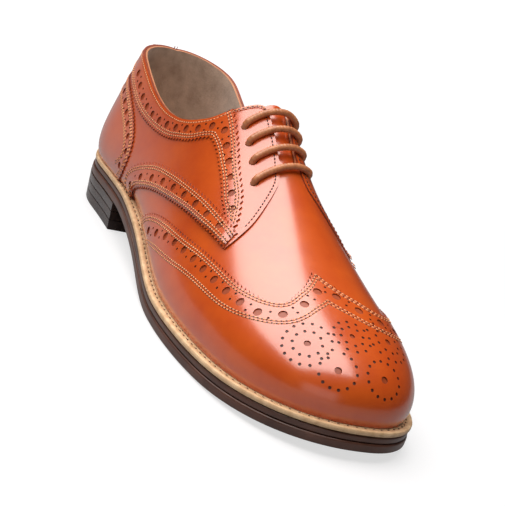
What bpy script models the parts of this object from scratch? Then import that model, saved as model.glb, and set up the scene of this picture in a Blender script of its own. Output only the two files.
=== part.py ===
"""A right-foot derby shoe with a full wing cap, built the way a shoemaker stacks it.

Everything follows one formula, the last: the wooden foot that the upper is pulled over. A spot on
the last has two numbers. "along" runs from 0 at the back of the heel to 1 at the tip of the toe,
and "around" is an angle, 0 on the ridge of the instep and 90 degrees at the feather edge, where
the upper meets the welt. Leather pieces are strips between two paths in those numbers, set off
from the last by their layer. The last stands on a flat feather plane while it is worked out, and
then every piece is raised by the same curve, the pitch of the heel and the spring of the toe, so
that neighbours keep their gap.

Metres, +X to the toe, +Y to the inner side of this right shoe, +Z up.
"""
import math

import bmesh
import bpy
import numpy as np

# Driving sizes
LAST_LENGTH = 0.2920
TOE_ROUNDING_START = 0.80 * LAST_LENGTH
HEEL_ROUNDING_START = 0.0400
BULGE_HEIGHT = 0.0140            # where the side of the upper swells most over the welt
HEEL_PITCH = 0.0150              # how much higher the heel seat lies than the ball
TOE_SPRING = 0.0045
FLAT_START = 0.62 * LAST_LENGTH  # the ball of the sole lies flat on the floor from here
FLAT_END = 0.74 * LAST_LENGTH    # to here
HEEL_BREAST = 0.0720             # front face of the heel

# Leather
GAP = 0.0003                     # touching pieces keep this much air
LAYER_GAP = 0.0004               # between curved layers of leather
TONGUE_GAP = 0.0008              # under the upper, which is faceted more coarsely
BAR_GAP = 0.0006                 # a straight bar over a curved band
UPPER_WALL = 0.0018
OVERLAY_WALL = 0.0010
TONGUE_WALL = 0.0020
INSOLE_THICKNESS = 0.0034
LACE_DIAMETER = 0.0032

# Bottom, from the welt down
WELT_THICKNESS = 0.0025
MIDSOLE_THICKNESS = 0.0028
OUTSOLE_THICKNESS = 0.0042
TOP_PIECE_THICKNESS = 0.0052
LIFT_COUNT = 2
WELT_REACH = 0.0053              # how far the welt stands out from the feather edge
MIDSOLE_REACH = 0.0048
OUTSOLE_REACH = 0.0052
HEEL_SEAT_TUCK = 0.0022          # the welt and soles stand out less around the heel
TUCK_START = 0.1050              # the tuck comes in from here
TUCK_FULL = 0.0450               # to here
HEEL_TAPER = 0.0016              # the heel narrows by this much down to the floor

# The last, a row for each cross section: heel to toe, in metres except the first and the powers.
# outer and inner are half widths of the feather edge, ridge is how far the instep's crest lies
# towards the inner side, the powers square up the section's side and top.
LAST_COLUMNS = ("along", "outer", "inner", "ridge", "height", "side_power", "top_power",
                "outer_bulge", "inner_bulge")
LAST_ROWS = (
    (0.00, 0.0307, 0.0307, 0.0000, 0.1202, 2.25, 1.60, 0.0030, 0.0030),
    (0.14, 0.0317, 0.0307, 0.0000, 0.1174, 2.20, 1.60, 0.0030, 0.0030),
    (0.30, 0.0322, 0.0268, 0.0000, 0.1077, 2.10, 1.55, 0.0040, 0.0060),
    (0.45, 0.0367, 0.0268, 0.0000, 0.0904, 2.05, 1.50, 0.0040, 0.0090),
    (0.58, 0.0434, 0.0358, 0.0011, 0.0712, 2.05, 1.50, 0.0030, 0.0060),
    (0.68, 0.0460, 0.0437, 0.0026, 0.0568, 2.10, 1.65, 0.0025, 0.0030),
    (0.78, 0.0446, 0.0446, 0.0040, 0.0457, 2.20, 2.00, 0.0022, 0.0022),
    (0.90, 0.0400, 0.0427, 0.0056, 0.0361, 2.30, 2.30, 0.0020, 0.0020),
    (1.00, 0.0362, 0.0402, 0.0060, 0.0322, 2.30, 2.40, 0.0020, 0.0020),
)
TOE_POWER = 2.6
HEEL_POWER = 2.3

# Paths on the last, as rows of (along, around in degrees). They are written for the outer side;
# the inner side takes the same rows mirrored.
COLLAR = ((0.114, 0.0), (0.119, 10.0), (0.133, 17.5), (0.168, 25.0), (0.228, 28.5), (0.300, 25.5),
          (0.365, 20.5), (0.405, 15.5), (0.430, 9.5), (0.452, 6.0), (0.480, 3.9))
THROAT = ((0.480, 3.9), (0.560, 3.5), (0.610, 3.8), (0.632, 2.6), (0.638, 0.0))
BACK_SEAM = 0.3                  # degrees that each quarter stays off the middle of the heel
# A piece that ends at the collar or the throat is cut past it, out in the opening.
QUARTER_CREST = ((0.132, 0.3), (0.160, 12.0), (0.200, 20.0), (0.300, 16.0), (0.400, 8.0),
                 (0.480, 1.0), (0.600, 1.0), (0.632, 3.9), (0.650, 5.6), (0.688, 9.5),
                 (0.718, 18.0), (0.737, 28.0), (0.752, 40.5))
QUARTER_FOOT = ((0.228, 89.0), (0.235, 81.0), (0.273, 71.0), (0.378, 58.5), (0.542, 47.5),
                (0.675, 43.0), (0.744, 42.5))
QUARTER_WELT_END = 0.225
# The quarter's window of plain calf, bounded by the brogued band
WINDOW_CREST = ((0.098, -2.0), (0.115, 18.0), (0.155, 31.5), (0.215, 37.5), (0.290, 33.5),
                (0.360, 28.0), (0.415, 22.5), (0.453, 19.5), (0.510, 20.5), (0.565, 23.0),
                (0.615, 26.0), (0.665, 29.5), (0.698, 31.2))
WINDOW_FOOT = ((0.172, 89.0), (0.180, 77.5), (0.245, 59.5), (0.297, 51.0), (0.367, 45.0),
               (0.458, 40.0), (0.550, 35.8), (0.628, 33.2), (0.690, 32.6))
WINDOW_WELT_END = 0.170
# The plain stay that the lace runs through, from the band to the throat
EYESTAY_REAR = ((0.395, 11.0), (0.435, 14.0), (0.508, 15.0), (0.610, 18.5), (0.693, 23.0),
                (0.730, 27.0))
EYESTAY_CREST = ((0.420, 5.0), (0.480, 0.0), (0.600, 0.0), (0.680, 3.0), (0.735, 14.0),
                 (0.748, 25.0))
COUNTER_EDGE = ((0.112, 88.0), (0.163, 76.0), (0.183, 62.0), (0.177, 50.0), (0.153, 38.0),
                (0.120, 25.0), (0.097, 12.0), (0.090, 0.0))
COUNTER_WELT_END = 0.108
BACKSTAY_HALF_WIDTH = 9.0
BACKSTAY_ENDS = (0.0925, 0.125)
WING_EDGE = ((0.357, 87.5), (0.372, 76.5), (0.408, 67.5), (0.542, 56.5), (0.688, 50.5),
             (0.768, 47.5), (0.810, 45.0), (0.843, 41.5), (0.865, 34.5), (0.874, 27.5),
             (0.866, 19.5), (0.847, 11.5), (0.826, 5.0), (0.814, 0.0))
WING_WELT_END = 0.362
TONGUE_HALF_WIDTH = ((0.440, 11.0), (0.500, 16.0), (0.600, 17.0), (0.690, 12.0))
BAR_STATIONS = (0.500, 0.546, 0.596, 0.647)
BAR_HALF_WIDTH = (11.0, 11.5, 12.5, 14.5)

# How finely curves are worked out and the solids are faceted, and how far a cutting slab reaches
LINE_POINTS = 401                # of a dense line on the last
CROSS_POINTS = 60                # of a line across a strip, and of a stretch of the feather edge
UPPER_COLUMNS = 54
UPPER_ROWS = 10
WELT_COLUMNS = 80
PLATE_STATIONS = 33
INSOLE_STATIONS = 28
HEEL_STATIONS = 14
BAR_POINTS = 8
CUTTER_ROWS = 5
CUTTER_OFFSETS = (0.0055, -0.0005)
CUTTER_FOOT = 0.0005

# Colours from the photograph: colour, roughness, metallic
CALF = ((0.56, 0.115, 0.022, 1.0), 0.28, 0.0)
LINING = ((0.28, 0.19, 0.13, 1.0), 0.80, 0.0)
WELT_LEATHER = ((0.60, 0.36, 0.19, 1.0), 0.60, 0.0)
SOLE_EDGE = ((0.065, 0.038, 0.030, 1.0), 0.35, 0.0)
HEEL_EDGE = ((0.040, 0.026, 0.024, 1.0), 0.35, 0.0)
LACE_COTTON = ((0.20, 0.065, 0.025, 1.0), 0.55, 0.0)

OUTER_SIDE = -1.0                # +Y is the inner side of a right shoe


def spline(places, values):
    """A natural cubic spline through the given points, as a function."""
    x = np.asarray(places, float)
    y = np.asarray(values, float)
    count = len(x)
    step = np.diff(x)
    matrix = np.eye(count)
    right = np.zeros((count,) + y.shape[1:])
    for i in range(1, count - 1):
        matrix[i, i - 1:i + 2] = step[i - 1], 2 * (step[i - 1] + step[i]), step[i]
        right[i] = 6 * ((y[i + 1] - y[i]) / step[i] - (y[i] - y[i - 1]) / step[i - 1])
    bend = np.linalg.solve(matrix, right)

    def value(at):
        t = np.clip(np.asarray(at, float), x[0], x[-1])
        i = np.clip(np.searchsorted(x, t) - 1, 0, count - 2)
        h = step[i]
        after = x[i + 1] - t
        before = t - x[i]
        if y.ndim == 2:
            h, after, before = h[..., None], after[..., None], before[..., None]
        cubic = (bend[i] * after ** 3 + bend[i + 1] * before ** 3) / (6 * h)
        return (cubic + (y[i] / h - bend[i] * h / 6) * after
                + (y[i + 1] / h - bend[i + 1] * h / 6) * before)

    return value


LAST = {name: spline([row[0] * LAST_LENGTH for row in LAST_ROWS], [row[k] for row in LAST_ROWS])
        for k, name in enumerate(LAST_COLUMNS) if k}


def last_value(x, y, z):
    """Under 1 inside the last, 1 on its surface; z is over the feather plane."""
    ridge = LAST["ridge"](x)
    across = y * OUTER_SIDE + ridge
    height = np.clip(z, 0, None)
    swell = height / BULGE_HEIGHT * np.exp(1 - height / BULGE_HEIGHT)
    outer = LAST["outer"](x) + ridge + LAST["outer_bulge"](x) * swell
    inner = LAST["inner"](x) - ridge + LAST["inner_bulge"](x) * swell
    half_width = np.where(across > 0, outer, inner)
    toe = np.clip((x - TOE_ROUNDING_START) / (LAST_LENGTH - TOE_ROUNDING_START + 0.0020 * swell),
                  0, None) ** TOE_POWER
    heel = np.clip((HEEL_ROUNDING_START - x) / (HEEL_ROUNDING_START + 0.0025 * swell),
                   0, None) ** HEEL_POWER
    return ((np.abs(across) / half_width) ** LAST["side_power"](x)
            + (height / LAST["height"](x)) ** LAST["top_power"](x) + toe + heel)


def cast(start, direction, reach=0.170, rounds=26):
    """Where rays from inside the last leave it."""
    near = np.zeros(start.shape[:-1])
    far = np.full(start.shape[:-1], reach)
    for _ in range(rounds):
        middle = (near + far) / 2
        spot = start + direction * middle[..., None]
        inside = last_value(spot[..., 0], spot[..., 1], spot[..., 2]) < 1
        near = np.where(inside, middle, near)
        far = np.where(inside, far, middle)
    return start + direction * near[..., None]


def normals(spots, step=0.0001):
    """Outward directions on the last; level at the feather edge."""
    x, y, z = spots[..., 0], spots[..., 1], spots[..., 2]
    z = np.maximum(z, step)
    slope = np.stack([last_value(x + step, y, z) - last_value(x - step, y, z),
                      last_value(x, y + step, z) - last_value(x, y - step, z),
                      last_value(x, y, z + step) - last_value(x, y, z - step)], -1)
    slope[..., 2] *= np.clip(spots[..., 2] / 0.0030, 0, 1)
    return slope / np.linalg.norm(slope, axis=-1, keepdims=True)


def on_last(along, around, off=0.0):
    """Points of the last, in feather space; around is in degrees, off is outwards."""
    along, around = np.broadcast_arrays(np.asarray(along, float), np.asarray(around, float))
    forward = np.clip((along - 0.7) / 0.3, 0, 1)
    backward = np.clip((0.3 - along) / 0.3, 0, 1)
    tilt = np.radians(90 * forward ** 1.5 - 90 * backward ** 1.5)
    angle = np.radians(around)
    start = np.stack([0.045 + 0.195 * along, 0 * along, 0 * along], -1)
    direction = np.stack([np.cos(angle) * np.sin(tilt), np.sin(angle),
                          np.cos(angle) * np.cos(tilt)], -1)
    spots = cast(start, direction)
    return spots + normals(spots) * off


def sheet(x):
    """Height of the top of the welt over the floor: heel pitch, flat ball, toe spring."""
    stack = WELT_THICKNESS + GAP + MIDSOLE_THICKNESS + GAP + OUTSOLE_THICKNESS
    toe = TOE_SPRING * np.clip((x - FLAT_END) / (LAST_LENGTH - FLAT_END), 0, None) ** 2
    rise = np.clip((FLAT_START - x) / (FLAT_START - HEEL_BREAST), 0, 1)
    return stack + toe + HEEL_PITCH * rise * rise * (3 - 2 * rise)


def feather_loop(count=720):
    """The closed plan outline of the last at the feather edge, evenly spaced."""
    side = np.linspace(0, 1, count)
    turn = np.linspace(math.radians(-90), math.radians(90), count // 3)[1:-1]
    outer = on_last(side, -90.0)
    inner = on_last(side[::-1], 90.0)
    level = 0 * turn
    toe = cast(np.array([0.240, 0, 0]) + np.outer(level, [1, 1, 1]),
               np.stack([np.cos(turn), np.sin(turn), level], -1))
    heel = cast(np.array([0.045, 0, 0]) + np.outer(level, [1, 1, 1]),
                np.stack([-np.cos(turn), -np.sin(turn), level], -1))
    ring = np.concatenate([outer, toe, inner, heel])[:, :2]
    keep = np.linalg.norm(ring - np.roll(ring, 1, 0), axis=1) > 1e-5
    ring = ring[keep]
    ring = np.concatenate([ring, ring[:1]])
    length = np.concatenate([[0], np.cumsum(np.linalg.norm(np.diff(ring, axis=0), axis=1))])
    even = np.linspace(0, length[-1], count, endpoint=False)
    return np.stack([np.interp(even, length, ring[:, k]) for k in (0, 1)], -1)


FEATHER = feather_loop()


def grown_loop(reach, heel_tuck=0.0):
    """The feather outline grown by reach, less by heel_tuck around the heel."""
    ahead = np.roll(FEATHER, -4, 0) - np.roll(FEATHER, 4, 0)
    outward = np.stack([ahead[:, 1], -ahead[:, 0]], -1)
    outward /= np.linalg.norm(outward, axis=1)[:, None]
    heel = np.clip((TUCK_START - FEATHER[:, 0]) / (TUCK_START - TUCK_FULL), 0, 1)
    heel = heel * heel * (3 - 2 * heel)
    return FEATHER + outward * (reach - heel_tuck * heel)[:, None]


def ladder(loop, stations, last=None):
    """Left and right edges of a closed plan outline at shared x stations."""
    back, front = np.argmin(loop[:, 0]), np.argmax(loop[:, 0])
    chain = np.roll(loop, -back, 0)
    front = (front - back) % len(loop)
    outer, inner = chain[:front + 1], np.concatenate([chain[front:], chain[:1]])[::-1]
    start = chain[0, 0]
    end = chain[front, 0] if last is None else last
    # both ends crowd where the outline turns; a cut end is spaced evenly
    share = np.linspace(0, 1, stations + 1)
    if last is None:
        share = (1 - np.cos(math.pi * share)) / 2
    else:
        share = 1 - np.cos(math.pi / 2 * share)
    x = start + (end - start) * share
    sides = [np.interp(x, np.maximum.accumulate(side[:, 0]), side[:, 1]) for side in (outer, inner)]
    return x, sides[0], sides[1]


def add_material(thing, name, finish):
    colour, roughness, metallic = finish
    material = bpy.data.materials.get(name) or bpy.data.materials.new(name)
    material.use_nodes = True
    shader = material.node_tree.nodes["Principled BSDF"]
    shader.inputs["Base Color"].default_value = colour
    shader.inputs["Roughness"].default_value = roughness
    shader.inputs["Metallic"].default_value = metallic
    thing.data.materials.append(material)


def finish_mesh(bm, name, finish, sharp_degrees=40):
    bmesh.ops.recalc_face_normals(bm, faces=bm.faces)
    mesh = bpy.data.meshes.new(name)
    bm.to_mesh(mesh)
    bm.free()
    mesh.shade_smooth()
    mesh.set_sharp_from_angle(angle=math.radians(sharp_degrees))
    thing = bpy.data.objects.new(name, mesh)
    bpy.context.scene.collection.objects.link(thing)
    add_material(thing, name + "_finish", finish)
    return thing


def raised(spots):
    """Feather space to the standing shoe, with the origin under the middle of its outline."""
    world = np.array(spots, float)
    world[..., 2] += sheet(world[..., 0])
    world[..., 0] -= MIDDLE[0]
    world[..., 1] -= MIDDLE[1]
    return world


def shell(name, outer, inner, finish, ring=False):
    """A closed wall between two matching grids of points."""
    bm = bmesh.new()
    columns, rows = outer.shape[:2]
    skins = [[[bm.verts.new(spot) for spot in line] for line in grid] for grid in (outer, inner)]

    spans = range(columns if ring else columns - 1)
    for skin in skins:
        for i in spans:
            j = (i + 1) % columns
            for k in range(rows - 1):
                # both skins, and every layer, fold along the same diagonal and so stay parallel
                bm.faces.new((skin[i][k], skin[j][k], skin[j][k + 1]))
                bm.faces.new((skin[i][k], skin[j][k + 1], skin[i][k + 1]))
    top, low = skins
    for i in spans:
        j = (i + 1) % columns
        for k in (0, rows - 1):
            bm.faces.new((top[i][k], top[j][k], low[j][k], low[i][k]))
    if not ring:
        for i in (0, columns - 1):
            for k in range(rows - 1):
                bm.faces.new((top[i][k], top[i][k + 1], low[i][k + 1], low[i][k]))
    return finish_mesh(bm, name, finish)


def smooth_path(rows, count):
    """A smooth curve through rows of (along, around), evenly spaced over the last."""
    rows = np.asarray(rows, float)
    stretch = np.array([0.200, 0.0008])      # metres for one unit of along and of around
    knots = np.concatenate([[0], np.cumsum(np.linalg.norm(np.diff(rows, axis=0) * stretch, axis=1))])
    return spline(knots, rows)(np.linspace(0, knots[-1], count))


def spread(spots, count, turn_weight=0.040):
    """Fractions of a line of points, closer together where it bends."""
    run = np.diff(spots, axis=0)
    length = np.linalg.norm(run, axis=1)
    heading = run / np.maximum(length, 1e-9)[:, None]
    turn = np.arccos(np.clip((heading[1:] * heading[:-1]).sum(1), -1, 1))
    turn = np.concatenate([turn[:1], turn]) / 2 + np.concatenate([turn, turn[-1:]]) / 2
    measure = np.concatenate([[0], np.cumsum(length + turn_weight * turn)])
    return np.interp(np.linspace(0, measure[-1], count), measure, np.linspace(0, 1, len(spots)))


def pick(line, fractions):
    place = np.linspace(0, 1, len(line))
    return np.stack([np.interp(fractions, place, line[:, k]) for k in range(line.shape[1])], -1)


def joined(*parts):
    """Paths end to end as one dense line, evenly spaced over the last."""
    dense = np.concatenate([part if i == 0 else part[1:] for i, part in enumerate(parts)])
    spots = on_last(dense[:, 0], dense[:, 1])
    length = np.concatenate([[0], np.cumsum(np.linalg.norm(np.diff(spots, axis=0), axis=1))])
    even = np.linspace(0, length[-1], LINE_POINTS)
    return np.stack([np.interp(even, length, dense[:, k]) for k in (0, 1)], -1)


def patch_grid(low_edge, high_edge, columns, rows):
    """Chart positions of a strip between two lines, columns by rows, closer where it bends."""
    fractions = sum(spread(on_last(edge[:, 0], edge[:, 1]), columns)
                    for edge in (low_edge, high_edge)) / 2
    low, high = pick(low_edge, fractions), pick(high_edge, fractions)
    grid = np.empty((columns, rows, 2))
    for i in range(columns):
        line = low[i] + (high[i] - low[i]) * np.linspace(0, 1, CROSS_POINTS)[:, None]
        grid[i] = pick(line, spread(on_last(line[:, 0], line[:, 1]), rows))
    return grid


def welt_line(start, end, side, count=CROSS_POINTS):
    """The feather edge on one side, from along start to along end."""
    return np.stack([np.linspace(start, end, count), np.full(count, 90.0 * side)], -1)


def end_line(along, start, end, count=CROSS_POINTS):
    """The feather edge around the heel (along 0) or the toe (along 1)."""
    return np.stack([np.full(count, float(along)), np.linspace(start, end, count)], -1)


def leather(name, grid, inside, outside, finish=CALF, ring=False):
    """A leather wall over the last between two offsets; its lowest edge clears the welt."""
    skins = []
    for off in (outside, inside):
        spots = on_last(grid[..., 0], grid[..., 1], off)
        spots[..., 2] = np.maximum(spots[..., 2], GAP)
        skins.append(raised(spots))
    return shell(name, skins[0], skins[1], finish, ring)


def whole_upper_grid():
    """The upper from the welt to the collar and throat, as a ring of columns."""
    half = joined(smooth_path(COLLAR, 160), smooth_path(THROAT, 100))
    opening = joined(half * (1, -1), half[::-1][1:])
    foot = joined(end_line(0, 0, -90), welt_line(0, 1, -1), end_line(1, -90, 90),
                  welt_line(1, 0, 1), end_line(0, 90, 0))
    return patch_grid(foot, opening, UPPER_COLUMNS + 1, UPPER_ROWS)[:-1]


def cutter(name, foot, crest, columns=25):
    """A thick slab over one region of the last, to cut leather pieces with."""
    grid = patch_grid(foot, crest, columns, CUTTER_ROWS)
    skins = []
    for off in CUTTER_OFFSETS:
        spots = on_last(grid[..., 0], grid[..., 1], off)
        spots[..., 2] = np.where(spots[..., 2] < CUTTER_FOOT, -CUTTER_FOOT * 4, spots[..., 2])
        skins.append(raised(spots))
    slab = shell(name + "_cutter", skins[0], skins[1], CALF)
    slab.hide_render = True
    slab.display_type = "WIRE"
    return slab


def overlay(name, number, region, holes=()):
    """One layer of the whole upper, kept inside the region's slab and outside the holes'."""
    inside = number * LAYER_GAP + (number - 1) * OVERLAY_WALL
    piece = leather(name, UPPER_GRID, inside, inside + OVERLAY_WALL, ring=True)
    for slab, operation in [(region, "INTERSECT")] + [(hole, "DIFFERENCE") for hole in holes]:
        modifier = piece.modifiers.new(slab.name, "BOOLEAN")
        modifier.object = slab
        modifier.operation = operation
    return piece


def make_tongue():
    """A curved plate under the facings, from the throat to just over the collar."""
    along = [row[0] for row in TONGUE_HALF_WIDTH]
    width = spline(along, [row[1] for row in TONGUE_HALF_WIDTH])
    stations = np.linspace(along[0], along[-1], 11)
    across = np.linspace(-1, 1, 8)
    grid = np.empty((len(stations), len(across), 2))
    grid[..., 0] = stations[:, None]
    grid[..., 1] = width(stations)[:, None] * across
    top = -UPPER_WALL - TONGUE_GAP
    leather("tongue", grid, top - TONGUE_WALL, top)


def make_quarter(side, label):
    """The quarter with its facing, and the brogued band that runs along three of its edges."""
    def path(rows, count=120):
        return smooth_path(np.asarray(rows, float) * (1, side), count)

    foot = joined(end_line(0, BACK_SEAM * side, 90 * side), welt_line(0, QUARTER_WELT_END, side),
                  path(QUARTER_FOOT))
    region = cutter("quarter_" + label, foot, joined(path(QUARTER_CREST, 200)), columns=26)
    overlay("quarter_" + label, 1, region)
    foot = joined(end_line(0, -2 * side, 90 * side), welt_line(0, WINDOW_WELT_END, side),
                  path(WINDOW_FOOT))
    window = cutter("window_" + label, foot, joined(path(WINDOW_CREST, 200)))
    stay = cutter("eyestay_" + label, joined(path(EYESTAY_REAR)), joined(path(EYESTAY_CREST)), 14)
    overlay("brogued_band_" + label, 2, region, (window, stay))


def symmetric(rows):
    """A path from the outer welt over the ridge to the inner welt."""
    half = smooth_path(rows, 160)
    return joined(half * (1, -1), half[::-1][1:])


def make_overlays():
    for side, label in ((-1, "lateral"), (1, "medial")):
        make_quarter(side, label)
    foot = joined(welt_line(COUNTER_WELT_END, 0, -1), end_line(0, -90, 90),
                  welt_line(0, COUNTER_WELT_END, 1))
    overlay("heel_counter", 2, cutter("heel_counter", foot, symmetric(COUNTER_EDGE)))
    low, high = [joined(np.array([(along, -BACKSTAY_HALF_WIDTH), (along, BACKSTAY_HALF_WIDTH)]))
                 for along in BACKSTAY_ENDS]
    overlay("backstay", 3, cutter("backstay", low, high, 7))
    foot = joined(welt_line(WING_WELT_END, 1, -1), end_line(1, -90, 90),
                  welt_line(1, WING_WELT_END, 1))
    overlay("wing_cap", 1, cutter("wing_cap", foot, symmetric(WING_EDGE), 38))


def plate(name, top, bottom, top_loop, bottom_loop, finish, stations=PLATE_STATIONS, last=None):
    """A sole layer between two heights over the feather plane, following the pitch and spring."""
    bm = bmesh.new()
    levels = []
    for height, loop in ((top, top_loop), (bottom, bottom_loop)):
        x, outer, inner = ladder(loop, stations, last=last)
        z = height + 0 * x
        spots = [raised(np.stack([x, y, z], -1)) for y in (outer, inner)]
        left = [bm.verts.new(spot) for spot in spots[0]]
        right = [left[0]] + [bm.verts.new(spot) for spot in spots[1][1:]]
        if last is None:
            bm.verts.remove(right[-1])
            right[-1] = left[-1]
        levels.append((left, right))
        for k in range(stations):
            corners = []
            for vert in (left[k], left[k + 1], right[k + 1], right[k]):
                if vert not in corners:
                    corners.append(vert)
            bm.faces.new(corners)
    (left_top, right_top), (left_low, right_low) = levels
    for top_line, low_line in ((left_top, left_low), (right_top, right_low)):
        for k in range(stations):
            bm.faces.new((top_line[k], top_line[k + 1], low_line[k + 1], low_line[k]))
    if last is not None:
        bm.faces.new((left_top[-1], right_top[-1], right_low[-1], left_low[-1]))
    return finish_mesh(bm, name, finish)


def make_welt():
    """A strip all the way round, under the upper's edge and outside the insole."""
    outer_loop = grown_loop(WELT_REACH, HEEL_SEAT_TUCK)
    inner_loop = grown_loop(-UPPER_WALL - GAP * 2)
    closed = np.concatenate([FEATHER, FEATHER[:1]])
    fractions = spread(np.pad(closed, ((0, 0), (0, 1))), WELT_COLUMNS + 1)[:-1]
    rings = []
    for loop in (outer_loop, inner_loop):
        loop = np.concatenate([loop, loop[:1]])
        rings.append(pick(loop, fractions))
    skins = []
    for height in (0.0, -WELT_THICKNESS):
        skins.append(raised(np.stack([np.pad(ring, ((0, 0), (0, 1)), constant_values=height)
                                      for ring in rings], 1)))
    shell("welt", skins[0], skins[1], WELT_LEATHER, ring=True)


def make_bottom():
    make_welt()
    insole = grown_loop(-UPPER_WALL - GAP * 3.5)
    base = -WELT_THICKNESS
    plate("insole", base + INSOLE_THICKNESS, base, insole, insole, LINING, stations=INSOLE_STATIONS)
    midsole = grown_loop(MIDSOLE_REACH, HEEL_SEAT_TUCK)
    top = base - GAP
    plate("midsole", top, top - MIDSOLE_THICKNESS, midsole, midsole, SOLE_EDGE)
    outsole = grown_loop(OUTSOLE_REACH, HEEL_SEAT_TUCK)
    top -= MIDSOLE_THICKNESS + GAP
    plate("outsole", top, top - OUTSOLE_THICKNESS, outsole, outsole, SOLE_EDGE)
    make_heel(top - OUTSOLE_THICKNESS - GAP)


def make_heel(top):
    """Stacked lifts and a top piece, narrowing to the floor."""
    ground = -sheet(0.0)
    height = top - ground
    lift = (height - TOP_PIECE_THICKNESS - LIFT_COUNT * GAP) / LIFT_COUNT

    def outline(level):
        return grown_loop(OUTSOLE_REACH - HEEL_TAPER * (top - level) / height, HEEL_SEAT_TUCK)

    for number in range(LIFT_COUNT):
        low = top - lift
        plate(f"heel_lift_{number + 1}", top, low, outline(top), outline(low), HEEL_EDGE,
              stations=HEEL_STATIONS, last=HEEL_BREAST)
        top = low - GAP
    plate("heel_top_piece", top, ground, outline(top), outline(ground), HEEL_EDGE,
          stations=HEEL_STATIONS, last=HEEL_BREAST)


def make_lace_bars():
    """Four straight bars over the throat, each resting on both facings."""
    lift = LAYER_GAP + OVERLAY_WALL + BAR_GAP + LACE_DIAMETER / 2
    for number, (along, half) in enumerate(zip(BAR_STATIONS, BAR_HALF_WIDTH), 1):
        around = np.linspace(-half, half, BAR_POINTS)
        curve = bpy.data.curves.new(f"lace_bar_{number}", "CURVE")
        curve.dimensions = "3D"
        curve.bevel_depth = LACE_DIAMETER / 2
        curve.bevel_resolution = 2
        curve.use_fill_caps = True
        line = curve.splines.new("POLY")
        line.points.add(len(around) - 1)
        for point, spot in zip(line.points, raised(on_last(along, around, lift))):
            point.co = (*spot, 1.0)
        bar = bpy.data.objects.new(f"lace_bar_{number}", curve)
        bpy.context.scene.collection.objects.link(bar)
        add_material(bar, bar.name + "_finish", LACE_COTTON)


for old in list(bpy.data.objects):
    bpy.data.objects.remove(old, do_unlink=True)

BOUNDARY = grown_loop(WELT_REACH, HEEL_SEAT_TUCK)
MIDDLE = (BOUNDARY.min(0) + BOUNDARY.max(0)) / 2
UPPER_GRID = whole_upper_grid()
make_bottom()
leather("upper", UPPER_GRID, -UPPER_WALL, 0.0, ring=True)
make_tongue()
make_overlays()
make_lace_bars()
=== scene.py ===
# %% [markdown]
# # A full brogue, dressed over its solid model
# The solid model holds every piece of the shoe at its true size. This lesson gives each piece the
# surface that a shoemaker would: thin leather with pinked edges, punched holes, stitches and a
# polish. It starts by loading the solid model, which stays where it is.

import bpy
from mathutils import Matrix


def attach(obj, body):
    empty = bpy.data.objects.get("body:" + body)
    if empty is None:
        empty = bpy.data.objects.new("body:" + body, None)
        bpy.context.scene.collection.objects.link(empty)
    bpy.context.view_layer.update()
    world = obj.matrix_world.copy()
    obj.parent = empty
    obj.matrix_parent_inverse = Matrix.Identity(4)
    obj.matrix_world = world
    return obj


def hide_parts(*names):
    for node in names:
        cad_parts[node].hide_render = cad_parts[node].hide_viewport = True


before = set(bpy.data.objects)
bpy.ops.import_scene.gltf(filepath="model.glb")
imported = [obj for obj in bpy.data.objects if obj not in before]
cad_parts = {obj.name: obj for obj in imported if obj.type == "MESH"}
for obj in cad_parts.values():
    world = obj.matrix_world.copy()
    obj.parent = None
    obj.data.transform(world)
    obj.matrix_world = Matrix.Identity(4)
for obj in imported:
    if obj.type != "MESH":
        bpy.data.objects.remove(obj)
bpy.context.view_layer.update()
print("solid model:", len(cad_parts), "pieces")

# %% Blender's own modules and numpy
import math

import bmesh
import bpy
import numpy as np
from mathutils import Matrix, Vector

# %% [markdown]
# ## The last
# A shoe is pulled over a last, so every piece of leather follows its surface. The solid model works
# the last out from one formula, and the same formula is repeated here. A spot on the last has two
# numbers: "along" runs from 0 at the heel to 1 at the toe, and "around" is an angle, 0 on the ridge
# of the instep and 90 degrees at the welt, negative on the outer side. The other way would be to
# project new meshes on the solids, but they are faceted and the facets would show in the polish.

# %% Driving sizes, in metres
LAST_LENGTH = 0.2920
TOE_ROUNDING_START = 0.80 * LAST_LENGTH
HEEL_ROUNDING_START = 0.0400
BULGE_HEIGHT = 0.0140
HEEL_PITCH = 0.0150
TOE_SPRING = 0.0045
TOE_SWELL, HEEL_SWELL = 0.0020, 0.0025          # how much the roundings lengthen where the last bulges
HEEL_CENTRE, TOE_CENTRE = 0.045, 0.240          # rays to the last's surface start between these two
LEVEL_BELOW = 0.0030             # under this height its outward direction turns level
FLAT_START = 0.62 * LAST_LENGTH
FLAT_END = 0.74 * LAST_LENGTH
HEEL_BREAST = 0.0720
GAP = 0.0003
WELT_THICKNESS = 0.0025
MIDSOLE_THICKNESS = 0.0028
OUTSOLE_THICKNESS = 0.0042
TOP_PIECE_THICKNESS = 0.0052
LIFT_COUNT = 2
WELT_REACH = 0.0053
MIDSOLE_REACH = 0.0048
OUTSOLE_REACH = 0.0052
HEEL_SEAT_TUCK = 0.0022
TUCK_START = 0.1050
TUCK_FULL = 0.0450
HEEL_TAPER = 0.0016
TOE_POWER = 2.6
HEEL_POWER = 2.3
LAST_COLUMNS = ("along", "outer", "inner", "ridge", "height", "side_power", "top_power",
                "outer_bulge", "inner_bulge")
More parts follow.
